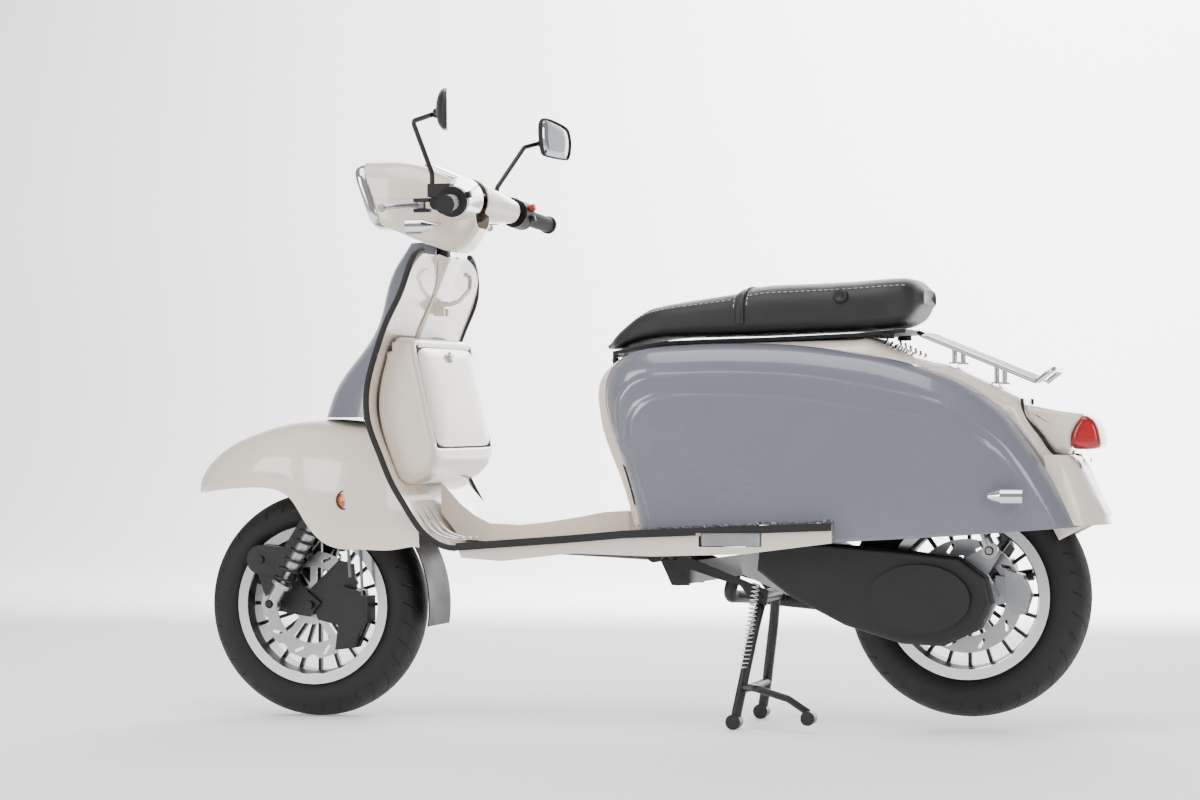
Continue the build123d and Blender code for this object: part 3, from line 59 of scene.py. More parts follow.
lens.lens = lens_mm
lens.sensor_width = 36
viewpoint = bpy.data.objects.new("viewpoint", lens)
turned_view = Matrix((right, upward, -look)).transposed().to_4x4()
viewpoint.matrix_world = Matrix.Translation((-1.679, 6.155, 0.599)) @ turned_view
bpy.context.scene.collection.objects.link(viewpoint)
bpy.context.scene.camera = viewpoint


# ---------------------------------------------------------------- studio floor and light
# A seamless white paper sweep under soft boxes: matt, with no edge behind the scooter.
# One large box hangs overhead, one stands at the front left and a weaker one behind.
def linear(code):
    """An sRGB hex value as linear light: ((c + 0.055) / 1.055) ^ 2.4 above the dark toe."""
    parts = [int(code[i:i + 2], 16) / 255 for i in (1, 3, 5)]
    return (*[c / 12.92 if c <= 0.04045 else ((c + 0.055) / 1.055) ** 2.4 for c in parts], 1.0)


def add_node(tree, kind, settings=None, sockets=None):
    """One shader node, with its own properties and its sockets' values or links."""
    made = tree.nodes.new("ShaderNode" + kind)
    for key, value in (settings or {}).items():
        setattr(made, key, value)
    for key, value in (sockets or {}).items():
        if isinstance(value, bpy.types.NodeSocket):
            tree.links.new(value, made.inputs[key])
        else:
            made.inputs[key].default_value = value
    return made


def finish_named(name, surface):
    """A material whose Principled sockets come from surface(tree, object coordinates)."""
    material = bpy.data.materials.new(name)
    material.use_nodes = True
    tree = material.node_tree
    tree.nodes.clear()
    place = add_node(tree, "TexCoord").outputs["Object"]
    skin = add_node(tree, "BsdfPrincipled", {}, surface(tree, place))
    add_node(tree, "OutputMaterial", {}, {"Surface": skin.outputs[0]})
    return material


def skin_of(name, parts, body=None, finish=None, replaces=(), wall=0.0, smooth=True):
    """One object from grids of points: parts are (points[rows, columns, 3], rows wrap, columns wrap)."""
    corners, faces, start = [], [], 0
    for points, wrap_rows, wrap_columns in parts:
        rows, columns = points.shape[:2]
        index = np.arange(rows * columns).reshape(rows, columns) + start
        if wrap_rows:
            index = np.vstack([index, index[:1]])
        if wrap_columns:
            index = np.hstack([index, index[:, :1]])
        faces.append(np.stack([index[:-1, :-1], index[1:, :-1], index[1:, 1:], index[:-1, 1:]],
                              -1).reshape(-1, 4))
        corners.append(points.reshape(-1, 3))
        start += rows * columns
    mesh = bpy.data.meshes.new(name)
    mesh.from_pydata(np.vstack(corners).tolist(), [], np.vstack(faces).tolist())
    work = bmesh.new()
    work.from_mesh(mesh)
    bmesh.ops.remove_doubles(work, verts=work.verts, dist=1e-5)
    bmesh.ops.dissolve_degenerate(work, edges=work.edges, dist=1e-6)
    bmesh.ops.recalc_face_normals(work, faces=work.faces)
    work.to_mesh(mesh)
    work.free()
    mesh.polygons.foreach_set("use_smooth", [smooth] * len(mesh.polygons))
    made = bpy.data.objects.new(name, mesh)
    bpy.context.scene.collection.objects.link(made)
    if wall:
        thick = made.modifiers.new("wall", "SOLIDIFY")
        thick.thickness = wall
        thick.offset = -1
    if finish:
        mesh.materials.append(finish)
    if body:
        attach(made, body)
    if replaces:
        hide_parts(*replaces)
    return made


def paper(tree, place):
    grain = add_node(tree, "TexNoise", {}, {"Vector": place, "Scale": 40.0, "Detail": 4.0})
    rise = add_node(tree, "Bump", {}, {"Height": grain.outputs[0], "Strength": 0.05, "Distance": 0.001})
    return {"Base Color": linear("#FBFBFB"), "Roughness": 0.9, "Normal": rise.outputs[0],
            "Emission Color": linear("#FFFFFF"), "Emission Strength": 0.3}


# The sweep's section: flat floor, then a quarter circle of 1.5 m up into the wall, far behind the scooter.
bend = np.linspace(0, math.pi / 2, 24)
section_y = np.concatenate([[14.0], -6 - 1.5 * np.sin(bend), [-7.5]])
section_z = np.concatenate([[0.0], 1.5 - 1.5 * np.cos(bend), [9.0]])
across = np.linspace(-16, 16, 5)
sweep_points = np.stack([np.broadcast_to(across, (26, 5)), np.repeat(section_y[:, None], 5, 1),
                         np.repeat(section_z[:, None], 5, 1)], -1)
sweep = skin_of("paper_sweep", [(sweep_points, False, False)], finish=finish_named("white_paper", paper))

for label, spot, aim, power, size in (("overhead_box", (0, 1.0, 3.6), (0, 0, 0.5), 120, 3.2),
                                      ("front_left_box", (3.2, 3.6, 1.9), (0.2, 0, 0.6), 80, 1.8),
                                      ("rear_left_box", (-3.4, 3.0, 1.6), (-0.4, 0, 0.6), 52, 1.6),
                                      ("far_side_box", (0.5, -3.2, 2.6), (0, 0, 0.5), 70, 2.2),
                                      ("wall_wash", (0, -4.4, 3.2), (0, -8, 1.2), 900, 4.5)):
    lamp = bpy.data.lights.new(label, "AREA")
    lamp.energy = power
    lamp.size = size
    stand = bpy.data.objects.new(label, lamp)
    stand.location = spot
    stand.rotation_euler = (Vector(aim) - Vector(spot)).to_track_quat("-Z", "Y").to_euler()
    bpy.context.scene.collection.objects.link(stand)
studio = bpy.data.worlds.new("studio")
studio.use_nodes = True
studio.node_tree.nodes["Background"].inputs[0].default_value = linear("#FFFFFF")
studio.node_tree.nodes["Background"].inputs[1].default_value = 0.42
bpy.context.scene.world = studio


# ---------------------------------------------------------------- painted steel body
# Pressed sheet steel in two-pack enamel, cream on the body and blue-grey on the nose and side panels.
# Sprayed enamel is glossy over a faint orange-peel ripple of about 2 mm.
def enamel(base, shade):
    """The paint's surface: two close tints, a hard clear gloss and the ripple of the spray gun."""
    def surface(tree, place):
        cloud = add_node(tree, "TexNoise", {}, {"Vector": place, "Scale": 2.2, "Detail": 3.0})
        tint = add_node(tree, "Mix", {"data_type": "RGBA"},
                        {0: cloud.outputs[0], 6: linear(base), 7: linear(shade)})
        peel = add_node(tree, "TexNoise", {}, {"Vector": place, "Scale": 420.0, "Detail": 1.0})
        rise = add_node(tree, "Bump", {}, {"Height": peel.outputs[0], "Strength": 0.035,
                                           "Distance": 0.0006})
        handled = add_node(tree, "TexNoise", {}, {"Vector": place, "Scale": 9.0, "Detail": 6.0})
        rough = add_node(tree, "MapRange", {}, {"Value": handled.outputs[0], "From Min": 0.35,
                                                "From Max": 0.7,
                                                "To Min": 0.2, "To Max": 0.3})
        return {"Base Color": tint.outputs[2], "Roughness": rough.outputs[0], "IOR": 1.5,
                "Coat Weight": 0.8, "Coat Roughness": 0.04, "Normal": rise.outputs[0]}
    return surface


cream = finish_named("cream_enamel", enamel("#E9DDCF", "#E4D7C7"))
blue_grey = finish_named("blue_grey_enamel", enamel("#71737F", "#6D6F7C"))


def dress(finish, *nodes):
    """The finish on CAD pieces whose shape is already right."""
    for name in nodes:
        piece = cad[name]
        piece.data.materials.clear()
        piece.data.materials.append(finish)


dress(cream, "leg_shield", "front_fender", "column_cover", "glovebox", "glovebox_door", "floorboard",
      "rear_body",
      "tail_housing", "rear_mudguard", "headset_upper", "headset_lower")
dress(blue_grey, "horncast", "side_cowl_left", "side_cowl_right")


# ---------------------------------------------------------------- black trim, frame and plastics
# The frame and fork are powder-coated steel, the switch blocks and drive case moulded plastic.
# Powder coat is satin with a fine pebble; moulded ABS is duller, with a spark-eroded grain.
def pebbled(base, rough, grain_scale, depth):
    """A fine pebble of the given scale over one dark tint, duller where it is handled less."""
    def surface(tree, place):
        grain = add_node(tree, "TexNoise", {}, {"Vector": place, "Scale": grain_scale, "Detail": 3.0})
        rise = add_node(tree, "Bump", {}, {"Height": grain.outputs[0], "Strength": 0.25, "Distance": depth})
        worn = add_node(tree, "TexNoise", {}, {"Vector": place, "Scale": 14.0, "Detail": 5.0})
        dull = add_node(tree, "MapRange", {}, {"Value": worn.outputs[0], "From Min": 0.3, "From Max": 0.7,
                                               "To Min": rough - 0.07, "To Max": rough + 0.08})
        tint = add_node(tree, "Mix", {"data_type": "RGBA"},
                        {0: worn.outputs[0], 6: linear(base),
                         7: tuple(1.5 * c + 0.002 for c in linear(base))[:3] + (1,)})
        return {"Base Color": tint.outputs[2], "Roughness": dull.outputs[0], "Normal": rise.outputs[0]}
    return surface


powder_coat = finish_named("black_powder_coat", pebbled("#0A0A0B", 0.38, 700.0, 0.0004))
moulded_black = finish_named("black_moulded_abs", pebbled("#08080A", 0.48, 900.0, 0.0005))
moulded_grey = finish_named("grey_moulded_abs", pebbled("#4A4B4E", 0.45, 900.0, 0.0004))
edge_rubber = finish_named("black_edge_rubber", pebbled("#0D0D0E", 0.62, 500.0, 0.0004))
red_button = finish_named("red_button_abs", pebbled("#A81E1E", 0.4, 900.0, 0.0003))
dress(powder_coat, "frame", "fork", "front_link", "rear_shock_bodies", "centre_stand", "exhaust",
      "mirror_stalks")
dress(moulded_black, "seat_base", "helmet_tray", "fuel_tank", "drive_cover", "switchgears",
      "inner_mudguard",
      "mirror_left", "mirror_right", "indicator_switch", "starter_button")
dress(edge_rubber, "leg_shield_trim", "floor_edge_trims", "grip_left", "throttle_grip")
dress(moulded_grey, "instrument")
dress(red_button, "kill_switch")


# ---------------------------------------------------------------- bright metal
# Chrome plate on lamps, rack and hook; cast and polished aluminium on levers, engine and rims; turned steel discs.
# Chrome mirrors its surroundings, sand-cast alloy is grey and grainy, a turned disc shows fine rings.
def plated(tree, place):
    haze = add_node(tree, "TexNoise", {}, {"Vector": place, "Scale": 30.0, "Detail": 4.0})
    rough = add_node(tree, "MapRange", {}, {"Value": haze.outputs[0], "To Min": 0.04, "To Max": 0.12})
    return {"Base Color": linear("#E2E3E6"), "Metallic": 1.0, "Roughness": rough.outputs[0]}


def cast(tree, place):
    sand = add_node(tree, "TexNoise", {}, {"Vector": place, "Scale": 520.0, "Detail": 5.0})
    rise = add_node(tree, "Bump", {}, {"Height": sand.outputs[0], "Strength": 0.4, "Distance": 0.0005})
    stain = add_node(tree, "TexNoise", {}, {"Vector": place, "Scale": 18.0, "Detail": 6.0})
    tint = add_node(tree, "Mix", {"data_type": "RGBA"}, {0: stain.outputs[0], 6: linear("#8D8F92"),
                                                         7: linear("#B9BABC")})
    return {"Base Color": tint.outputs[2], "Metallic": 0.9, "Roughness": 0.42, "Normal": rise.outputs[0]}


def turned_about(axle):
    """Rings 0.9 mm apart about an axle along Y, as a lathe leaves them."""
    def surface(tree, place):
        from_axle = add_node(tree, "VectorMath", {"operation": "SUBTRACT"},
                             {0: place, 1: (axle[0], 0.0, axle[2])})
        flat = add_node(tree, "VectorMath", {"operation": "MULTIPLY"},
                        {0: from_axle.outputs[0], 1: (1.0, 0.0, 1.0)})
        reach = add_node(tree, "VectorMath", {"operation": "LENGTH"}, {0: flat.outputs[0]})
        ring = add_node(tree, "Math", {"operation": "MULTIPLY"},
                        {0: reach.outputs["Value"], 1: 2 * math.pi / 0.0009})
        wave = add_node(tree, "Math", {"operation": "SINE"}, {0: ring.outputs[0]})
        rise = add_node(tree, "Bump", {}, {"Height": wave.outputs[0], "Strength": 0.15, "Distance": 0.0002})
        return {"Base Color": linear("#B4B5B7"), "Metallic": 1.0, "Roughness": 0.28,
                "Normal": rise.outputs[0]}
    return surface


front_axle = (0.682, 0.0, 0.2294)
rear_axle = (-0.664, 0.0, 0.26)
chrome = finish_named("chrome_plate", plated)
cast_alloy = finish_named("sand_cast_aluminium", cast)
dress(chrome, "luggage_hook", "rear_indicators", "front_indicators", "luggage_rack")
dress(cast_alloy, "footrest_left", "footrest_right", "crankcase", "brake_lever_left", "brake_lever_right",
      "front_shock_bodies")
front_turned = finish_named("turned_steel_front", turned_about(front_axle))
rear_turned = finish_named("turned_steel_rear", turned_about(rear_axle))
dress(front_turned, "front_disc", "front_shock_rods")
dress(rear_turned, "rear_disc", "rear_shock_rods")


# ---------------------------------------------------------------- wheels and tyres
# Cast 12 inch aluminium wheels painted black, their lips cut bright on the lathe after painting.
# Tubeless rubber tyres, with curved grooves that sweep back from the centre of the tread.
def painted_wheel(axle, lip_from, lip_to):
    """Black satin paint, bare bright metal where the distance from the axle is within the turned lip."""
    def surface(tree, place):
        from_axle = add_node(tree, "VectorMath", {"operation": "SUBTRACT"},
                             {0: place, 1: (axle[0], 0.0, axle[2])})
        flat = add_node(tree, "VectorMath", {"operation": "MULTIPLY"},
                        {0: from_axle.outputs[0], 1: (1.0, 0.0, 1.0)})
        reach = add_node(tree, "VectorMath", {"operation": "LENGTH"}, {0: flat.outputs[0]})
        inner = add_node(tree, "Math", {"operation": "GREATER_THAN"},
                         {0: reach.outputs["Value"], 1: lip_from})
        outer = add_node(tree, "Math", {"operation": "LESS_THAN"}, {0: reach.outputs["Value"], 1: lip_to})
        lip = add_node(tree, "Math", {"operation": "MULTIPLY"}, {0: inner.outputs[0], 1: outer.outputs[0]})
        tint = add_node(tree, "Mix", {"data_type": "RGBA"},
                        {0: lip.outputs[0], 6: linear("#131314"), 7: linear("#D5D6D9")})
        rough = add_node(tree, "MapRange", {}, {"Value": lip.outputs[0], "To Min": 0.36, "To Max": 0.16})
        return {"Base Color": tint.outputs[2], "Metallic": lip.outputs[0], "Roughness": rough.outputs[0]}
    return surface


def tread(axle, radius, grooves):
    """Grooves whose angle about the axle leans with distance from the centre line: |frac(n a / 2 pi + 9 |y|) - 1/2|."""
    def surface(tree, place):
        here = add_node(tree, "SeparateXYZ", {}, {0: place})
        ahead = add_node(tree, "Math", {"operation": "SUBTRACT"}, {0: here.outputs[0], 1: axle[0]})
        above = add_node(tree, "Math", {"operation": "SUBTRACT"}, {0: here.outputs[2], 1: axle[2]})
        angle = add_node(tree, "Math", {"operation": "ARCTAN2"}, {0: above.outputs[0], 1: ahead.outputs[0]})
        turns = add_node(tree, "Math", {"operation": "MULTIPLY"},
                         {0: angle.outputs[0], 1: grooves / (2 * math.pi)})
        side = add_node(tree, "Math", {"operation": "ABSOLUTE"}, {0: here.outputs[1]})
        lean = add_node(tree, "Math", {"operation": "MULTIPLY"}, {0: side.outputs[0], 1: 22.0})
        phase = add_node(tree, "Math", {"operation": "ADD"}, {0: turns.outputs[0], 1: lean.outputs[0]})
        beat = add_node(tree, "Math", {"operation": "PINGPONG"}, {0: phase.outputs[0], 1: 0.5})
        cut = add_node(tree, "MapRange", {"interpolation_type": "SMOOTHSTEP"},
                       {"Value": beat.outputs[0], "From Min": 0.03, "From Max": 0.075})
        middle = add_node(tree, "MapRange", {}, {"Value": side.outputs[0], "From Min": 0.006,
                                                 "From Max": 0.009})
        spread = add_node(tree, "VectorMath", {"operation": "SUBTRACT"},
                          {0: place, 1: (axle[0], 0.0, axle[2])})
        flat = add_node(tree, "VectorMath", {"operation": "MULTIPLY"},
                        {0: spread.outputs[0], 1: (1.0, 0.0, 1.0)})
        reach = add_node(tree, "VectorMath", {"operation": "LENGTH"}, {0: flat.outputs[0]})
        wall = add_node(tree, "MapRange", {}, {"Value": reach.outputs["Value"], "From Min": radius - 0.03,
                                               "From Max": radius - 0.026, "To Min": 1.0, "To Max": 0.0})
        solid = add_node(tree, "Math", {"operation": "MAXIMUM"}, {0: cut.outputs[0], 1: wall.outputs[0]})
        centre = add_node(tree, "Math", {"operation": "SUBTRACT"}, {0: 1.0, 1: middle.outputs[0]})
        height = add_node(tree, "Math", {"operation": "MAXIMUM"},
                          {0: solid.outputs[0], 1: centre.outputs[0]})
        grain = add_node(tree, "TexNoise", {}, {"Vector": place, "Scale": 260.0, "Detail": 4.0})
        rough_rise = add_node(tree, "Bump", {}, {"Height": grain.outputs[0], "Strength": 0.25,
                                                 "Distance": 0.0005})
        rise = add_node(tree, "Bump", {}, {"Height": height.outputs[0], "Strength": 1.0, "Distance": 0.004,
                                           "Normal": rough_rise.outputs[0]})
        # Painted shade: the grooves are coloured a shade darker than the raised tread and sidewall, standing in for the
        # shade that falls in the recesses.
        tint = add_node(tree, "Mix", {"data_type": "RGBA"},
                        {0: height.outputs[0], 6: linear("#020202"), 7: linear("#0B0B0C")})
        return {"Base Color": tint.outputs[2], "Roughness": 0.68, "Normal": rise.outputs[0]}
    return surface


dress(finish_named("painted_wheel_front", painted_wheel(front_axle, 0.141, 0.163)), "front_rim")
dress(finish_named("painted_wheel_rear", painted_wheel(rear_axle, 0.141, 0.163)), "rear_rim")
dress(finish_named("tyre_rubber_front", tread(front_axle, 0.2294, 34)), "front_tyre")
dress(finish_named("tyre_rubber_rear", tread(rear_axle, 0.2364, 34)), "rear_tyre")


# ---------------------------------------------------------------- lamps and glass
# The tail lens is moulded red acrylic, the head lamp clear glass in a polished rim, the mirrors silvered glass.
# Acrylic lets light in and glows at its edges.
def red_acrylic(tree, place):
    ribs = add_node(tree, "TexWave", {"bands_direction": "Z"}, {"Vector": place, "Scale": 60.0})
    rise = add_node(tree, "Bump", {}, {"Height": ribs.outputs[1], "Strength": 0.2, "Distance": 0.0006})
    return {"Base Color": linear("#A3121C"), "Roughness": 0.08, "Transmission Weight": 0.35, "IOR": 1.49,
            "Normal": rise.outputs[0], "Coat Weight": 0.5}


def lamp_glass(tree, place):
    flutes = add_node(tree, "TexWave", {"bands_direction": "Y"}, {"Vector": place, "Scale": 45.0})
    rise = add_node(tree, "Bump", {}, {"Height": flutes.outputs[1], "Strength": 0.3, "Distance": 0.001})
    return {"Base Color": linear("#DDE2E6"), "Roughness": 0.06, "Metallic": 0.75, "Normal": rise.outputs[0]}


def silvered(tree, place):
    film = add_node(tree, "TexNoise", {}, {"Vector": place, "Scale": 20.0})
    rough = add_node(tree, "MapRange", {}, {"Value": film.outputs[0], "To Min": 0.01, "To Max": 0.04})
    return {"Base Color": linear("#C9CDD2"), "Metallic": 1.0, "Roughness": rough.outputs[0]}


def braided(tree, place):
    strands = add_node(tree, "TexWave", {"bands_direction": "DIAGONAL"}, {"Vector": place, "Scale": 420.0})
    rise = add_node(tree, "Bump", {}, {"Height": strands.outputs[1], "Strength": 0.5, "Distance": 0.0005})
    return {"Base Color": linear("#77797C"), "Metallic": 0.4, "Roughness": 0.4, "Normal": rise.outputs[0]}


mirror_glass = finish_named("silvered_glass", silvered)
dress(finish_named("red_acrylic", red_acrylic), "tail_lens")
dress(finish_named("fluted_lamp_glass", lamp_glass), "headlight")
dress(finish_named("braided_hose", braided), "brake_hoses")
dress(powder_coat, "front_shock_springs")
dress(moulded_black, "seat_pad")

# ---------------------------------------------------------------- side panels
# One pressed steel panel each side, bulging over the engine, held by a screw at its tail and a hook in front.
# Two raised blades follow its front and top edges inwards; a black rubber stop shows in a slot at the front.
def through(points, count):
    """A smooth run through the points: Catmull-Rom, with count points evenly spread by chord length."""
    points = np.asarray(points, float)
    ends = np.vstack([2 * points[0] - points[1], points, 2 * points[-1] - points[-2]])
    chord = np.concatenate([[0], np.cumsum(np.linalg.norm(np.diff(points, axis=0), axis=1))])
    where = np.linspace(0, chord[-1], count)
    i = np.clip(np.searchsorted(chord, where, side="right") - 1, 0, len(points) - 2)
    t = ((where - chord[i]) / (chord[i + 1] - chord[i]))[:, None]
    a, b, c, d = ends[i], ends[i + 1], ends[i + 2], ends[i + 3]
    return 0.5 * (2 * b + (c - a) * t + (2 * a - 5 * b + 4 * c - d) * t ** 2 + (3 * b - a - 3 * c + d) * t ** 3)


def eased(table, x, width):
    """A table of (x, value) read at x and averaged over plus and minus a width, so its corners are soft."""
    table = np.array(sorted(table))
    return np.mean([np.interp(x + d, table[:, 0], table[:, 1]) for d in np.linspace(-width, width, 9)],
                   axis=0)


def ramp(x, low, high):
    """0 below low, 1 above high, and 3 t^2 - 2 t^3 between."""
    t = np.clip((x - low) / (high - low), 0, 1)
    return t * t * (3 - 2 * t)


panel_edge = [(-46, 388), (-19, 487), (14, 584), (27, 640), (22, 689), (-8, 724), (-58, 742), (-150, 749),
              (-248, 750),
              (-366, 744), (-503, 724), (-599, 701), (-676, 670), (-752, 615), (-790, 569), (-828, 514),
              (-864, 449),
              (-888, 396)]
panel_foot = [(-895, 396), (-664, 380), (-445, 368), (-46, 368)]
trim_line = [(-888, 0), (-442, 0), (-439, 409), (-300, 402), (-46, 391), (30, 391)]
panel_half = [(-888, 126), (-850, 144), (-800, 163), (-700, 186), (-600, 198), (-444, 206), (-300, 208),
              (-150, 204),
              (-44, 196), (-5, 190), (16, 184), (28, 176)]
body_half = [(-888, 80), (-778, 84), (-604, 132), (-504, 150), (26, 150), (60, 132)]


def panel_point(along, inset):
    """Panel skin at a share of its edge and an inset in mm: a quarter round of 62 mm, less the two blade steps."""
    edge = through(panel_edge, 400)
    rim = np.stack([np.interp(along * 399, np.arange(400), edge[:, k]) for k in (0, 1)], -1)
    foot_x = -46 + (-888 + 46) * along
    foot = np.stack([foot_x, np.interp(foot_x, *np.array(sorted(panel_foot)).T)], -1)
    run = np.linalg.norm(foot - rim, axis=-1) + 1e-6
    here = rim + (foot - rim) * (np.minimum(inset, run) / run)[..., None]
    x, z = here[..., 0], here[..., 1]
    low = eased(body_half, x, 20) + 1.2
    high = eased(panel_half, x, 25)
    t = np.clip(inset / 62, 0, 1)
    y = low + (high - low) * np.sqrt(1 - (1 - t) ** 2)
    fade = 1 - ramp(along, 0.74, 0.9)
    first = 34 + 26 * ramp(along, 0.12, 0.35) - 20 * ramp(along, 0.6, 0.9)
    second = 78 + 30 * ramp(along, 0.12, 0.35) - 40 * ramp(along, 0.55, 0.86)
    y = y - 4.5 * fade * (1 - ramp(inset, first - 1, first + 7)) - 5 * fade * (1 - ramp(inset, second - 1,
                                                                                        second + 8))
    z = np.maximum(z, np.interp(x, *np.array(trim_line).T))
    return np.stack([x, np.maximum(y, low), z], -1) / 1000, run


shares = np.linspace(0, 1, 260)[:, None]
steps = np.concatenate([np.linspace(0, 1, 26) ** 1.3 * 0.22, np.linspace(0.23, 1, 40)])[None, :]
_, reach_down = panel_point(shares[:, 0], np.zeros(260))
insets = np.where(steps < 0.22, steps / 0.22 * np.minimum(130, reach_down[:, None] * 0.6),
                  np.minimum(130, reach_down[:, None] * 0.6) +
                  (steps - 0.22) / 0.78 * (reach_down[:, None] - np.minimum(130,
                                                                            reach_down[:, None] * 0.6)))
panel_left, _ = panel_point(np.broadcast_to(shares, insets.shape), insets)
stop_s, stop_d = np.meshgrid(np.linspace(0.045, 0.1, 20), np.linspace(9, 15, 6), indexing="ij")
stop_left, _ = panel_point(stop_s, stop_d)
stop_left[..., 1] += 0.0008
for side, word in ((1, "left"), (-1, "right")):
    hand = np.array([1, side, 1])
    skin_of("panel_" + word, [(panel_left * hand, False, False)], "chassis", blue_grey,
            ("side_cowl_" + word,), wall=0.0024)
    skin_of("panel_stop_" + word, [(stop_left * hand, False, False)], "chassis", edge_rubber,
            wall=0.002)


# ---------------------------------------------------------------- centre body
# The cream shell between the side panels, from the footwell up under the seat and back to the tail.
# It is one pressing with rolled edges, and open above the tray that the seat covers.
body_run = through([(-18, 392), (7, 476), (45, 570), (57, 625), (59, 660), (50, 690), (24, 716),
                    (-26, 739), (-148, 752),
                    (-300, 756), (-447, 758), (-492, 757), (-540, 735), (-600, 714), (-643, 702),
                    (-740, 656),
                    (-776, 635), (-792, 606), (-814, 572), (-834, 544), (-850, 533), (-872, 527),
                    (-886, 508),
                    (-905, 474), (-936, 414)], 210)
slope = np.gradient(body_run, axis=0)
slope /= np.linalg.norm(slope, axis=1)[:, None]
inward = np.stack([-slope[:, 1], slope[:, 0]], -1)
share = np.concatenate([[-1.0, -1.0], np.linspace(-1, 1, 61), [1.0, 1.0]])
sink = 38 * (1 - np.sqrt(np.clip(1 - np.abs(share) ** 5, 0, 1)))
sink[[0, -1]] += 60
sink[[1, -2]] += 25
half_here = eased(body_half, body_run[:, 0], 25) - 0.6
body_x = body_run[:, 0, None] + inward[:, 0, None] * sink[None, :]
body_z = body_run[:, 1, None] + inward[:, 1, None] * sink[None, :]
body_y = half_here[:, None] * share[None, :]
shell = skin_of("centre_body", [(np.stack([body_x, body_y, body_z], -1) / 1000, False, False)], "chassis",
                cream,
                ("rear_body",))
opened = bmesh.new()
opened.from_mesh(shell.data)
gone = [f for f in opened.faces if -0.475 < f.calc_center_median().x < -0.055 and abs(f.calc_center_median().y) < 0.112
        and f.calc_center_median().z > 0.73]
bmesh.ops.delete(opened, geom=gone, context="FACES")
opened.to_mesh(shell.data)
opened.free()
shell_wall = shell.modifiers.new("wall", "SOLIDIFY")
shell_wall.thickness = 0.0025
shell_wall.offset = 0


# ---------------------------------------------------------------- seat
# Moulded foam under a grained black vinyl cover, sewn from a top panel and side walls, with a strap across it.
# The cover is pulled tight over the edges and stitched in white thread 8 mm long to the stitch.
def grained_vinyl(tree, place):
    cells = add_node(tree, "TexVoronoi", {"feature": "DISTANCE_TO_EDGE"}, {"Vector": place, "Scale": 420.0})
    pores = add_node(tree, "MapRange", {}, {"Value": cells.outputs[0], "From Max": 0.25})
    rise = add_node(tree, "Bump", {}, {"Height": pores.outputs[0], "Strength": 0.35, "Distance": 0.0006})
    rub = add_node(tree, "TexNoise", {}, {"Vector": place, "Scale": 7.0, "Detail": 5.0})
    rough = add_node(tree, "MapRange", {}, {"Value": rub.outputs[0], "From Min": 0.3, "From Max": 0.7,
                                            "To Min": 0.4,
                                            "To Max": 0.55})
    tint = add_node(tree, "Mix", {"data_type": "RGBA"}, {0: rub.outputs[0], 6: linear("#0F0F10"),
                                                         7: linear("#171719")})
    return {"Base Color": tint.outputs[2], "Roughness": rough.outputs[0], "Normal": rise.outputs[0]}


def thread(tree, place):
    twist = add_node(tree, "TexWave", {}, {"Vector": place, "Scale": 900.0})
    rise = add_node(tree, "Bump", {}, {"Height": twist.outputs[1], "Strength": 0.5, "Distance": 0.0003})
    return {"Base Color": linear("#C9C7C2"), "Roughness": 0.8, "Normal": rise.outputs[0]}


vinyl = finish_named("black_grained_vinyl", grained_vinyl)
white_thread = finish_named("white_thread", thread)
seat_top = [(52, 753), (30, 772), (8, 790), (-18, 809), (-48, 825), (-110, 836), (-181, 845), (-225, 851),
            (-251, 858),
            (-291, 864), (-380, 868), (-461, 871), (-520, 875), (-556, 876), (-575, 868), (-588, 850)]
seat_low = [(52, 745), (20, 747), (-37, 762), (-78, 767), (-258, 769), (-455, 775), (-540, 781),
            (-570, 796), (-588, 826)]
seat_wide = [(52, 34), (30, 74), (0, 96), (-18, 107), (-78, 127), (-180, 137), (-290, 139), (-461, 137),
             (-530, 130),
             (-560, 118), (-578, 98), (-588, 66)]


def seat_point(x, angle):
    """Seat skin: half a flat-topped superellipse over the widest line at 45 % height, a short tuck below it."""
    top, low, wide = eased(seat_top, x, 9), eased(seat_low, x, 9), eased(seat_wide, x, 7)
    waist = low + (top - low) * 0.42
    c, s = np.cos(angle), np.sin(angle)
    across_seat = wide * np.sign(c) * np.abs(c) ** np.where(s > 0, 0.5, 0.32)
    crown = np.where(s > 0, waist + (top - waist) * np.abs(s) ** 0.72,
                     waist - (waist - low) * np.abs(s) ** 0.5)
    step = 2.6 * ramp(-x, 226, 236) * (1 - ramp(-x, 262, 400)) * np.clip(s, 0, 1)
    pull = 1.2 * np.sin(x / 9.0 + 2 * np.sin(angle * 3)) * np.exp(-((x + 243) / 26) ** 2) * np.clip(s, 0, 1)
    return np.stack(np.broadcast_arrays(x, across_seat, crown + step + pull), -1) / 1000


seat_x = -590 + 643 * (0.5 + 0.5 * np.cos(np.linspace(0, math.pi, 190)))
seat_x[[0, -1]] = (52.5, -589.5)
seat_angle = np.linspace(0, 2 * math.pi, 120, endpoint=False)
seat_grid = seat_point(seat_x[:, None], seat_angle[None, :])
for end in (0, -1):
    cap = seat_grid[end].mean(axis=0)
    seat_grid = np.concatenate([cap[None, None].repeat(120, 1), seat_grid] if end == 0 else
                               [seat_grid, cap[None, None].repeat(120, 1)], axis=0)
cushion = skin_of("seat_cushion", [(seat_grid, False, True)], "seat", vinyl, ("seat_pad",))


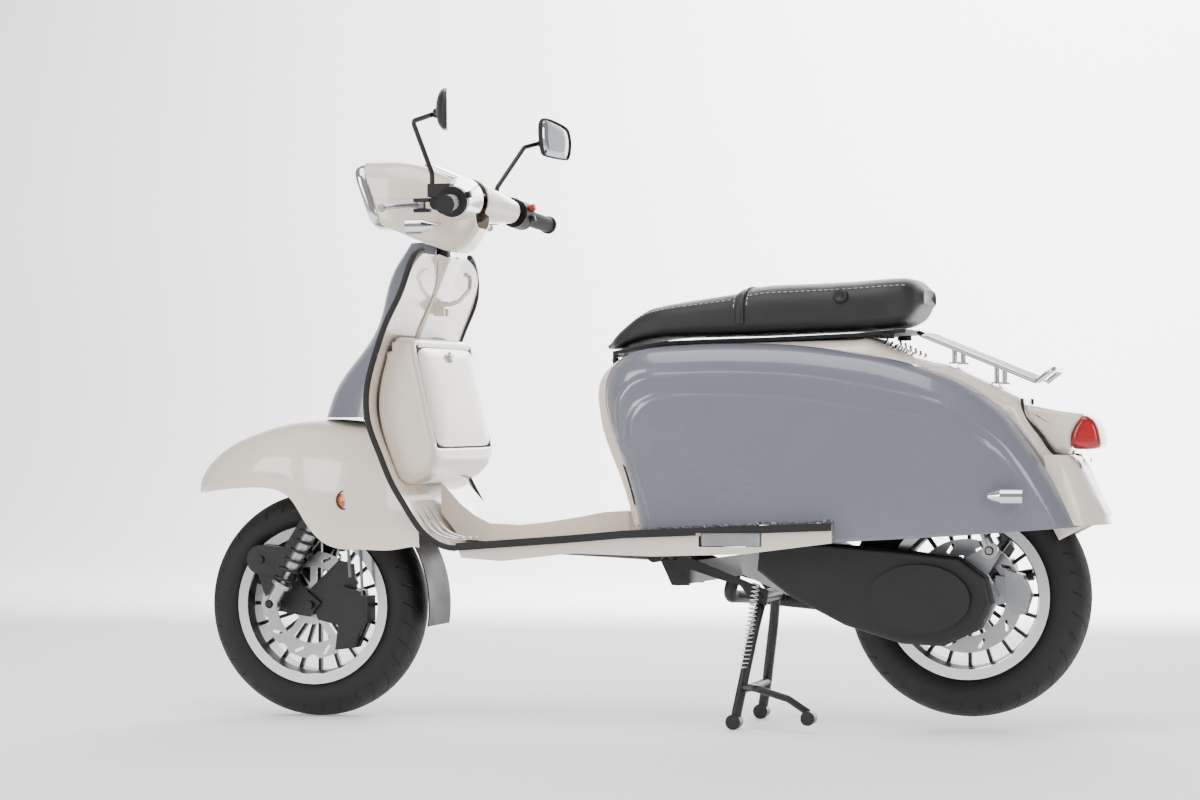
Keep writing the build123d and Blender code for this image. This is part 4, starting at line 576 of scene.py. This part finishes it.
def tube_grid(path, radius, sides=16, closed_ends=True):
    """A round tube along a path: each ring stands across the run, turned no more than the run itself turns."""
    path = np.asarray(path, float)
    radius = np.broadcast_to(np.asarray(radius, float), (len(path),))
    along = np.gradient(path, axis=0)
    along /= np.linalg.norm(along, axis=1)[:, None]
    ring_x = np.zeros_like(path)
    seed = np.array([0.0, 1.0, 0.0]) if abs(along[0, 1]) < 0.8 else np.array([0.0, 0.0, 1.0])
    for i, run in enumerate(along):
        seed = seed - run * seed.dot(run)
        seed /= np.linalg.norm(seed)
        ring_x[i] = seed
    ring_y = np.cross(along, ring_x)
    turn = np.linspace(0, 2 * math.pi, sides, endpoint=False)
    grid = path[:, None] + radius[:, None, None] * (ring_x[:, None] * np.cos(turn)[None, :, None]
                                                    + ring_y[:, None] * np.sin(turn)[None, :, None])
    if closed_ends:
        grid = np.concatenate([path[:1, None].repeat(sides, 1), grid, path[-1:, None].repeat(sides, 1)])
    return grid, False, True


strap_angle = np.linspace(-0.25, math.pi + 0.25, 90)
strap = []
for edge_x, lift in ((-233, 0.3), (-233, 3.0), (-235.5, 4.0), (-246.5, 4.0), (-249, 3.0), (-249, 0.3)):
    line = seat_point(np.full(90, float(edge_x)), strap_angle)
    line[:, 1] += lift / 1000 * np.cos(strap_angle)
    line[:, 2] += lift / 1000 * np.clip(np.sin(strap_angle), 0, 1)
    strap.append(line)
skin_of("seat_strap", [(np.stack(strap), False, False)], "seat", vinyl, wall=0.001)


def stitches(lines, length=0.008, pitch=0.0115, radius=0.0008):
    """Short thread tubes laid end to end along each line, with a gap between."""
    laid = []
    for line in lines:
        chord = np.concatenate([[0], np.cumsum(np.linalg.norm(np.diff(line, axis=0), axis=1))])
        for start in np.arange(0, chord[-1] - length, pitch):
            spots = start + np.array([0, 0.25, 0.5, 0.75, 1]) * length
            path = np.stack([np.interp(spots, chord, line[:, k]) for k in range(3)], -1)
            laid.append(tube_grid(path, radius * np.array([0.4, 1, 1.1, 1, 0.4]), 6))
    return laid


seams = []
for seam_angle in (0.62, math.pi - 0.62):
    for start, stop in ((20, -226), (-256, -560)):
        runs = seat_point(np.linspace(start, stop, 120), np.full(120, seam_angle))
        runs[:, 2] += 0.0006
        runs[:, 1] += 0.0006 * math.copysign(1, math.cos(seam_angle))
        seams.append(runs)
for seam_x in (-228, -254):
    seams.append(seat_point(np.full(80, float(seam_x)), np.linspace(0.2, math.pi - 0.2, 80)) + np.array([0,
            0, 0.0008]))
skin_of("seat_stitching", stitches(seams), "seat", white_thread)


def turned_grid(profile, centre, axis, sides=40):
    """A lathe profile of (reach, height) pairs carried round an axis through a centre."""
    axis = np.asarray(axis, float) / np.linalg.norm(axis)
    seed = np.array([0, 0, 1.0]) if abs(axis[2]) < 0.8 else np.array([1.0, 0, 0])
    side_x = np.cross(axis, seed)
    side_x /= np.linalg.norm(side_x)
    side_y = np.cross(axis, side_x)
    turn = np.linspace(0, 2 * math.pi, sides, endpoint=False)
    profile = np.asarray(profile, float)
    ring = side_x[None] * np.cos(turn)[:, None] + side_y[None] * np.sin(turn)[:, None]
    grid = (np.asarray(centre, float) + axis * profile[:, 1, None])[:, None] + profile[:, 0, None,
                                                                                       None] * ring[None]
    return grid, False, True


lock_ring = [(0, 0.004), (0.006, 0.0045), (0.0062, 0.006), (0.011, 0.0065), (0.0135, 0.005),
             (0.0145, 0.001),
             (0.0145, -0.004), (0, -0.004)]
lock_spot = seat_point(np.array([-440.0]), np.array([0.32]))[0]
skin_of("seat_lock", [turned_grid(lock_ring, lock_spot, (0.1, 0.96, 0.25))], "seat", moulded_black)
skin_of("seat_stop", [turned_grid([(0, 0.014), (0.012, 0.014), (0.014, 0.011), (0.014, 0), (0, 0)],
                                  (-0.522, side * 0.09, 0.757), (0, 0, 1)) for side in (1, -1)],
        "chassis", edge_rubber)


# ---------------------------------------------------------------- glove box
# A pressed steel box behind the leg shield with rounded corners and a domed door hinged at its foot.
# The door is framed by a shadow gap, painted as a black ring recessed just behind its edge, and has a chrome key lock
# near its top.
def closed_loop(points, count):
    """A smooth closed run through the points, by the same spline as an open run."""
    points = list(points)
    laps = through(points[-2:] + points + points[:3], 40 * (len(points) + 4))
    chord = np.concatenate([[0], np.cumsum(np.linalg.norm(np.diff(laps, axis=0), axis=1))])
    first = np.argmin(np.linalg.norm(laps[:80] - points[0], axis=1))
    last = len(laps) - 80 + np.argmin(np.linalg.norm(laps[-80:] - points[0], axis=1))
    where = np.linspace(chord[first], chord[last], count, endpoint=False)
    return np.stack([np.interp(where, chord, laps[:, k]) for k in range(2)], -1)


def puffed(outline, half, power, middle_y=0.0, rows=50):
    """A side outline carried across Y, shrinking to its centre by (1 - |t|^p)^(1/p) so its ends are rounded."""
    outline = np.asarray(outline, float)
    centre = outline.mean(axis=0)
    t = np.sin(np.linspace(-math.pi / 2, math.pi / 2, rows))
    k = (1 - np.abs(t) ** power) ** (1 / power)
    flat = centre + (outline - centre)[None] * k[:, None, None]
    y = np.broadcast_to((middle_y + half * t)[:, None], flat.shape[:2])
    return np.stack([flat[..., 0], y, flat[..., 1]], -1) / 1000, False, True


def domed(outline, centre, x_dir, y_dir, crown, rim, power=2.4, rings=18):
    """A flat outline raised by crown (1 - r^p) above its plane, with a rim turned back behind it."""
    x_dir, y_dir = (np.asarray(v, float) / np.linalg.norm(v) for v in (x_dir, y_dir))
    normal = np.cross(x_dir, y_dir)
    outline = np.asarray(outline, float)
    r = np.sin(np.linspace(0, math.pi / 2, rings))
    scale = np.concatenate([r, [1.0, 0.96, 0.0]])
    lift = np.concatenate([crown * (1 - r ** power), [-rim * 0.7, -rim, -rim]])
    flat = outline[None] * scale[:, None, None]
    return (np.asarray(centre, float) + (flat[..., :1] * x_dir + flat[..., 1:] * y_dir
                                         + lift[:, None, None] * normal) / 1000), False, True


def squarish(half_w, half_h, power=6.0, count=96):
    """A superellipse outline: |x / w|^p + |y / h|^p = 1."""
    turn = np.linspace(0, 2 * math.pi, count, endpoint=False)
    c, s = np.cos(turn), np.sin(turn)
    return np.stack([half_w * np.sign(c) * np.abs(c) ** (2 / power),
                     half_h * np.sign(s) * np.abs(s) ** (2 / power)], -1)


box_side = closed_loop([(468, 768), (440, 769), (416, 765), (411, 748), (390, 652), (369, 556), (367, 530),
                        (378, 506),
                        (402, 486), (434, 479), (448, 496), (466, 542), (481, 591), (487, 640), (481, 689),
                        (468, 740)], 120)
glove_box = skin_of("glove_box", [puffed(box_side, 199, 11)], "chassis", cream,
                    ("glovebox",))
cut_box = bmesh.new()
cut_box.from_mesh(glove_box.data)
gone = [f for f in cut_box.faces if (f.calc_center_median().x < 0.37 + (f.calc_center_median().z - 0.545) * 0.213 + 0.012
                                     and abs(f.calc_center_median().y) < 0.174
                                     and 0.549 < f.calc_center_median().z < 0.752)
        or f.calc_center_median().x > 0.452 + (0.03 if 0.5 < f.calc_center_median().z < 0.74 else 0)]
bmesh.ops.delete(cut_box, geom=gone, context="FACES")
cut_box.to_mesh(glove_box.data)
cut_box.free()
box_wall = glove_box.modifiers.new("wall", "SOLIDIFY")
box_wall.thickness = 0.0024
box_wall.offset = 0
door_up = (0.2086, 0, 0.978)
skin_of("glove_box_door", [domed(squarish(174, 101, 9), (0.388, 0, 0.651), (0, -1, 0), door_up, 7.5, 7, 5)],
        "glovebox_door", cream, ("glovebox_door",))
skin_of("glove_box_lock", [turned_grid([(0, 0.0035), (0.0035, 0.0035), (0.004, 0.0045), (0.0085, 0.0045),
                                        (0.0105, 0.003),
                                        (0.011, -0.003), (0, -0.003)], (0.3965, 0, 0.733),
                                        (-0.978, 0, 0.2086))],
        "glovebox_door", chrome)
# Painted shade: a thin black ring recessed just behind the door's edge stands in for the shadow in the gap around the
# door.
skin_of("glove_box_gap_painted_shade", [(np.stack([np.array([0.3925, 0, 0.6505]) + (ring[:, :1] * np.array([0, -1.0, 0])
                                      + ring[:, 1:] * np.array(door_up)) / 1000
                                      for ring in (squarish(174.5, 101.5, 9), squarish(178, 105, 9))]),
                                      False, True)],
        "chassis", edge_rubber, wall=0.002)


# ---------------------------------------------------------------- head lamp and instrument
# A fluted glass behind a broad polished bezel, and a black dial face in a chrome frame on top of the headset.
# The bezel is turned and pressed from brass and chrome plated.
lamp_mid = np.array([0.555, 0, 1.056])
lamp_out = np.array([0.943, 0, -0.332])
lamp_up = np.array([0.332, 0, 0.943])


def bezel_ring(scale, ahead, power):
    """One ring of the bezel: a superellipse scaled and moved along the lamp's axis, in mm."""
    ring = squarish(92 * scale, 70 * scale, power)
    return lamp_mid + (ring[:, :1] * np.array([0, 1.0, 0]) + ring[:,
                                                                  1:] * lamp_up + ahead * lamp_out) / 1000


bezel = np.stack([bezel_ring(k, a, p) for k, a, p in ((0.995, -23, 4.6), (0.995, -8, 4.6), (0.98, -3, 4.6),
                                                      (0.95, -0.5, 4.4), (0.9, -0.3, 4.4), (0.87, -3, 4.2),
                                                      (0.865, -10, 4.2), (0.84, -22, 4.2))])
skin_of("lamp_bezel", [(bezel, False, True)], "steering", chrome, ("headlight",), wall=0.001)
skin_of("lamp_glass", [domed(squarish(79.5, 60, 4.2), lamp_mid - lamp_out * 0.012, (0, 1, 0), lamp_up, 8,
                             3)],
        "steering", bpy.data.materials["fluted_lamp_glass"])
dial_up = (0.917, 0, 0.4)


def dial_glass(tree, place):
    smear = add_node(tree, "TexNoise", {}, {"Vector": place, "Scale": 25.0})
    rough = add_node(tree, "MapRange", {}, {"Value": smear.outputs[0], "To Min": 0.03, "To Max": 0.1})
    return {"Base Color": linear("#0B0C0E"), "Roughness": rough.outputs[0], "Coat Weight": 1.0, "IOR": 1.5}


skin_of("dial_frame", [domed(squarish(43, 45.5, 3.4), (0.4006, 0, 1.1095), (0, -1, 0), dial_up, 1.5, 12,
                             6)],
        "steering", chrome, ("instrument",))
skin_of("dial_face", [domed(squarish(36, 38, 3.4), (0.4, 0, 1.1116), (0, -1, 0), dial_up, 1.2, 1.5, 4)],
        "steering", finish_named("smoked_dial_glass", dial_glass))


# ---------------------------------------------------------------- mirrors
# Two black moulded heads with silvered glass, on bent steel stalks.
# Each head's back is domed and its face is a flat glass set 1 mm below the rim.
mirror_edge = closed_loop([(-56, 26), (-48, 42), (-20, 43), (30, 33), (50, 22), (58, -6), (50, -36),
                           (30, -41), (-30, -38),
                           (-46, -32), (-54, -6)], 96)
for side, spot, word in ((1, (0.325, 0.318, 1.196), "left"), (-1, (0.307, -0.322, 1.192), "right")):
    toe = math.radians(18)
    facing = np.array([-math.cos(toe), -side * math.sin(toe), 0])
    outward = np.array([-math.sin(toe), side * math.cos(toe), 0])
    middle = np.array(spot) + facing * 0.0215 + outward * 0.026 + np.array([0, 0, 0.008])
    across_face = outward if side < 0 else -outward
    flipped = mirror_edge * np.array([side * -1, 1])
    rings = [(0.0, 13.5), (0.3, 13), (0.6, 10.5), (0.8, 7), (0.93, 3), (1.0, -2), (1.0, -7), (0.97, -8.5),
             (0.93, -8.5),
             (0.925, -7), (0.0, -7)]
    head_grid = np.stack([middle + (flipped[:, :1] * across_face + flipped[:,
            1:] * np.array([0, 0, 1.0])) * k / 1000
                          - facing * a / 1000 for k, a in rings])
    boss = tube_grid(np.stack([np.array(spot) + facing * 0.003, np.array(spot) + facing * 0.012,
                               middle + (np.array(spot) - middle) * 0.45 - facing * 0.004, middle]),
                               0.0068, 14)
    skin_of("mirror_head_" + word, [(head_grid, False, True), boss], "mirror_" + word, moulded_black,
            ("mirror_" + word,))
    glass_grid = np.stack([middle + (flipped[:, :1] * across_face + flipped[:,
            1:] * np.array([0, 0, 1.0])) * k / 1000
                           + facing * 0.0078 for k in (0.0, 0.5, 0.92)])
    skin_of("mirror_glass_" + word, [(glass_grid, False, True)], "mirror_" + word, mirror_glass,
            wall=0.0006)


# ---------------------------------------------------------------- tail
# A cream pressing carries the red lens; a black gasket seals it to the body and a chrome grille vents it.
# Number-plate screws are small black-plated cross heads.
tail_side = closed_loop([(-779, 628), (-800, 626), (-842, 618), (-888, 611), (-893, 604), (-882, 590),
                         (-872, 570),
                         (-870, 545), (-860, 533), (-841, 534), (-812, 570), (-786, 602)], 90)
skin_of("tail_shell", [puffed(tail_side, 68, 7)], "chassis", cream, ("tail_housing",))
lens_side = closed_loop([(-893, 608), (-910, 601), (-920, 586), (-925, 566), (-926, 550), (-918, 543),
                         (-890, 541),
                         (-872, 545), (-869, 560), (-874, 580), (-884, 598)], 80)
skin_of("tail_lens_shell", [puffed(lens_side, 64, 7)], "chassis", bpy.data.materials["red_acrylic"],
        ("tail_lens",))
gasket_line = through([(-778, 640), (-783, 606), (-812, 572), (-838, 536), (-868, 530)], 40)
for side in (1, -1):
    path = np.stack([gasket_line[:, 0] / 1000, np.full(40, side * 0.067), gasket_line[:, 1] / 1000], -1)
    skin_of("tail_gasket_" + ("left" if side > 0 else "right"), [tube_grid(path, 0.0032, 10)], "chassis",
            edge_rubber)
grille = []
for side in (1, -1):
    for k in range(6):
        lower = np.array([-0.516 - 0.010 * k, side * 0.092, 0.7435 - 0.0052 * k])
        grille.append(tube_grid(np.stack([lower, lower + [-0.002, side * -0.024, 0.012]]), 0.0026, 8))
skin_of("vent_grille", grille, "chassis", chrome)
screw = [(0, 0.0012), (0.0012, 0.0012), (0.0014, 0.0022), (0.0034, 0.0018), (0.0045, 0.0004),
         (0.0045, -0.001), (0, -0.001)]
skin_of("body_screws", [turned_grid(screw, spot, axis, 16) for spot, axis in (
    ((-0.409, 0.2055, 0.404), (0, 1, 0.1)), ((-0.409, -0.2055, 0.404), (0, -1, 0.1)),
    ((-0.8935, 0.05, 0.52), (-1, 0.2, 0)), ((-0.8935, -0.05, 0.52), (-1, -0.2, 0)))],
    "chassis", chrome)


# ---------------------------------------------------------------- reflectors, strips and springs
# Amber acrylic side reflectors, polished floor strips on the footwell's curve, and wound steel springs.
# The stand spring is tinned wire hooked between the frame and the stand's leg.
def amber(tree, place):
    prisms = add_node(tree, "TexVoronoi", {}, {"Vector": place, "Scale": 600.0})
    rise = add_node(tree, "Bump", {}, {"Height": prisms.outputs[0], "Strength": 0.5, "Distance": 0.0006})
    return {"Base Color": linear("#B4561A"), "Roughness": 0.1, "Coat Weight": 0.8, "IOR": 1.49,
            "Normal": rise.outputs[0]}


amber_acrylic = finish_named("amber_acrylic", amber)
for side, word in ((1, "left"), (-1, "right")):
    spot, axis = (0.564, side * 0.1625, 0.446), (0.12, side, 0.12)
    skin_of("reflector_rim_" + word, [turned_grid([(0.0168, 0.0075), (0.019, 0.008), (0.0205, 0.006),
                                                   (0.021, -0.004),
                                                   (0.0168, -0.004)], spot, axis)], "chassis",
                                                   moulded_black,
            wall=0.0008)
    skin_of("reflector_" + word, [turned_grid([(0, 0.0082), (0.01, 0.0078), (0.0165, 0.0065),
                                               (0.017, -0.003), (0, -0.003)],
                                              spot, axis)], "chassis", amber_acrylic)
strip_run = through([(428, 452), (413, 432), (392, 404), (366, 381), (336, 371), (306, 371)], 40)
skin_of("floor_strips", [tube_grid(np.stack([strip_run[:, 0], np.full(40, y), strip_run[:, 1]], -1) / 1000,
                                   0.0034, 10)
                         for y in (105, 145, 185, -105, -145, -185)], "chassis", chrome)


def coil(start, end, reach, wire, turns, per_turn=22):
    """A helix of the given reach about the line from start to end."""
    start, end = np.asarray(start, float), np.asarray(end, float)
    axis = (end - start) / np.linalg.norm(end - start)
    side_x = np.cross(axis, [0, 1.0, 0])
    side_x /= np.linalg.norm(side_x)
    side_y = np.cross(axis, side_x)
    t = np.linspace(0, 1, int(turns * per_turn))[:, None]
    turn = t * turns * 2 * math.pi
    return tube_grid(start + (end - start) * t + reach * (side_x * np.cos(turn) + side_y * np.sin(turn)),
                     wire, 8)


rear_springs = []
for side in (1, -1):
    top, foot = np.array([-0.604, side * 0.104, 0.636]), np.array([-0.72, side * 0.104, 0.35])
    rear_springs.append(coil(top + (foot - top) * 0.14, top + (foot - top) * 0.6, 0.0185, 0.003, 9))
skin_of("rear_springs", rear_springs, "rear_shock_upper", powder_coat)
spring_top, spring_foot = (-0.262, 0.0985, 0.283), (-0.238, 0.1035, 0.118)
stand_spring = skin_of("stand_spring", [coil(spring_top, spring_foot, 0.0075, 0.0016, 20, 16)], None,
                       chrome)
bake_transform(stand_spring)
